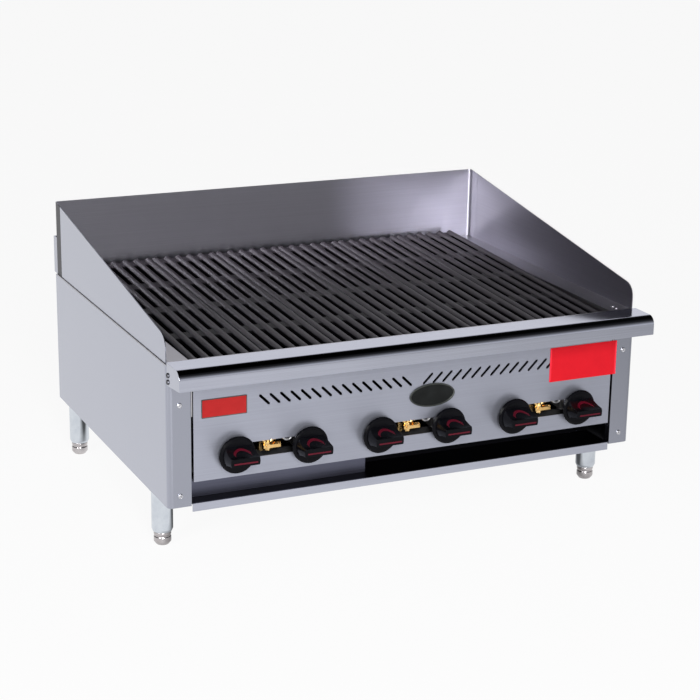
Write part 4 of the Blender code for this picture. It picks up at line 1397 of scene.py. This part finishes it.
@dataclass
class Studio:
    """Pale floor, soft light and the camera at the photograph's viewing angle."""

    floor_reach: float = 40.0
    floor_tone: float = 0.88
    floor_roughness: float = 0.9
    floor_glow: float = 0.93
    # Painted shadow under and round the body, and a dimming towards +X, both seen only by metal.
    floor_under: float = 0.10
    shade_beside: Span = (0.35, 0.47)
    shade_before: Span = (0.19, 0.28)
    floor_right: float = 0.62
    fade_right: Span = (0.1, 1.1)
    azimuth: float = math.radians(24.45)
    elevation: float = math.radians(16.71)
    roll: float = math.radians(0.77)
    distance: float = 3.603
    target: Point = (0.0136, 0.04335, 0.2444)
    lens: float = 95.75
    shift: Span = (0.017, -0.0057)
    clip_end: float = 200.0
    wall_way: Point = (0.42, 0.908, 0.0)
    wall_turn: Span = (0.66, 0.88)
    room_rear: float = 0.2
    room_fade: Span = (-0.2, 0.5)
    sky_blue: float = 1.04
    room_stops: tuple[Span, ...] = ((0.0, 0.9), (0.15, 0.64), (0.34, 0.25), (0.61, 0.03), (0.87, 0.0))
    wall_stops: tuple[Span, ...] = ((0.0, 0.95), (0.40, 0.95), (0.62, 0.08), (0.80, 0.03), (0.90, 0.0))
    lamps: tuple[SoftBox, ...] = (
        SoftBox("key_box", (-1.15, -3.98, 1.6), (0.2, 0.1, 0.4), (0.8, 2.4), 165),
        SoftBox("fill_box", (-3.6, -2.2, 1.7), (0, 0, 0.35), (1.0, 2.2), 70),
    )

    def camera(self) -> None:
        """Sets the camera on the solved view."""
        az, el = self.azimuth, self.elevation
        back = Vector((-math.sin(az) * math.cos(el), -math.cos(az) * math.cos(el), math.sin(el)))
        right = (-back).cross(Vector(UP)).normalized()
        up = right.cross(-back)
        turn = Matrix.Rotation(self.roll, 3, back)
        rotation = Matrix((turn @ right, turn @ up, back)).transposed()
        lens = bpy.data.cameras.new("view")
        lens.lens = self.lens
        lens.shift_x, lens.shift_y = self.shift
        lens.clip_end = self.clip_end
        eye = bpy.data.objects.new("view", lens)
        eye.matrix_world = Matrix.Translation(Vector(self.target) + back * self.distance) @ rotation.to_4x4()
        bpy.context.scene.collection.objects.link(eye)
        bpy.context.scene.camera = eye

    def floor(self) -> None:
        """Lays the floor, which looks white to the lens and keeps the shadow; metal sees it white but for a
        painted shadow under the body and a dimming towards +X.
        """
        clear()
        bpy.ops.mesh.primitive_plane_add(size=self.floor_reach)
        floor = settle("floor")
        board = NodeBoard(bpy.data.materials.new("pale_floor"))
        board.feed("Base Color", (self.floor_tone,) * 3 + (1,))
        board.feed("Roughness", self.floor_roughness)
        board.feed("Specular IOR Level", 0.0)
        path = board.add("ShaderNodeLightPath", {})
        lens = path.outputs["Is Camera Ray"]
        seen = board.reckon("MAXIMUM", lens, path.outputs["Is Glossy Ray"])
        seen = board.reckon("MAXIMUM", seen, path.outputs["Is Transmission Ray"])
        # Painted shadow: the glow that metal sees is dimmed under and round the body, and dimmer towards +X.
        beside = board.spread(board.reckon("ABSOLUTE", board.place("X")), WHOLE, self.shade_beside)
        before = board.spread(board.reckon("ABSOLUTE", board.place("Y")), WHOLE, self.shade_before)
        under = board.spread(board.reckon("MAXIMUM", beside, before), (self.floor_under, 1.0), WHOLE)
        right = board.spread(board.place("X"), (1.0, self.floor_right), self.fade_right)
        lit = board.reckon("MAXIMUM", board.reckon("MULTIPLY", under, right), lens)
        glow = board.add("ShaderNodeEmission", {"Strength": lit})
        share = board.reckon("MULTIPLY", seen, self.floor_glow)
        mix = board.add("ShaderNodeMixShader", {"Fac": share, 1: board.shader.outputs[0], 2: glow.outputs[0]})
        board.put(board.nodes["Material Output"].inputs["Surface"], mix.outputs[0])
        floor.data.materials.append(board.owner)

    def ramp(self, board: NodeBoard, stops: tuple[Span, ...]) -> Socket:
        """Tones of the room from the horizon up.

        Args:
            board: the room's nodes.
            stops: heights and their tones.

        Returns:
            The colour.
        """
        node = board.add("ShaderNodeValToRGB", {"Fac": board.place("Z", "Generated")})
        elements = node.color_ramp.elements
        while len(elements) < len(stops):
            elements.new(1.0)
        for element, (position, tone) in zip(elements, stops):
            element.position = position
            element.color = (tone, tone, tone * self.sky_blue, 1)
        return node.outputs["Color"]

    def sky(self) -> None:
        """Lights the room: a white wall behind the object, a dim room before it, dark overhead."""
        world = bpy.data.worlds.new("room")
        bpy.context.scene.world = world
        board = NodeBoard(world, "Background")
        facing = board.add("ShaderNodeVectorMath", {0: board.where("Generated"), 1: self.wall_way},
                           operation="DOT_PRODUCT")
        wall = board.spread(facing.outputs["Value"], WHOLE, self.wall_turn)
        room, behind = (self.ramp(board, stops) for stops in (self.room_stops, self.wall_stops))
        board.feed("Color", board.shade(wall, room, behind))
        fade = board.spread(board.place("Y", "Generated"), (1.0, self.room_rear), self.room_fade)
        board.feed("Strength", board.reckon("MAXIMUM", fade, wall))

    def build(self) -> None:
        """Sets up the whole studio."""
        self.camera()
        self.floor()
        self.sky()
        for lamp in self.lamps:
            lamp.hang()
        bpy.context.scene.view_settings.view_transform = "Standard"


def near(first: float, second: float) -> bool:
    """True if two lengths agree to a hair."""
    return abs(first - second) < HAIR


def faces_front(place: Vector, normal: Vector) -> bool:
    """True for a face that looks square to the front."""
    return normal.y < -SQUARE_ON


def middle(node: str) -> Vector:
    """Middle of a node's box."""
    low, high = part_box(node)
    return (low + high) / 2


def main() -> None:
    """Builds the studio and dresses the charbroiler, piece by piece."""
    logging.basicConfig(level=logging.INFO, format="%(name)s: %(message)s")
    Studio().build()
    finishes = Finishes()
    SheetBody(finishes).dress()
    for group in (FrontRail, GrateSet, KnobRow, PilotRow, LegSet, Fasteners, BarePlates):
        group(finishes).build()
    clear()


if __name__ == "__main__":
    main()
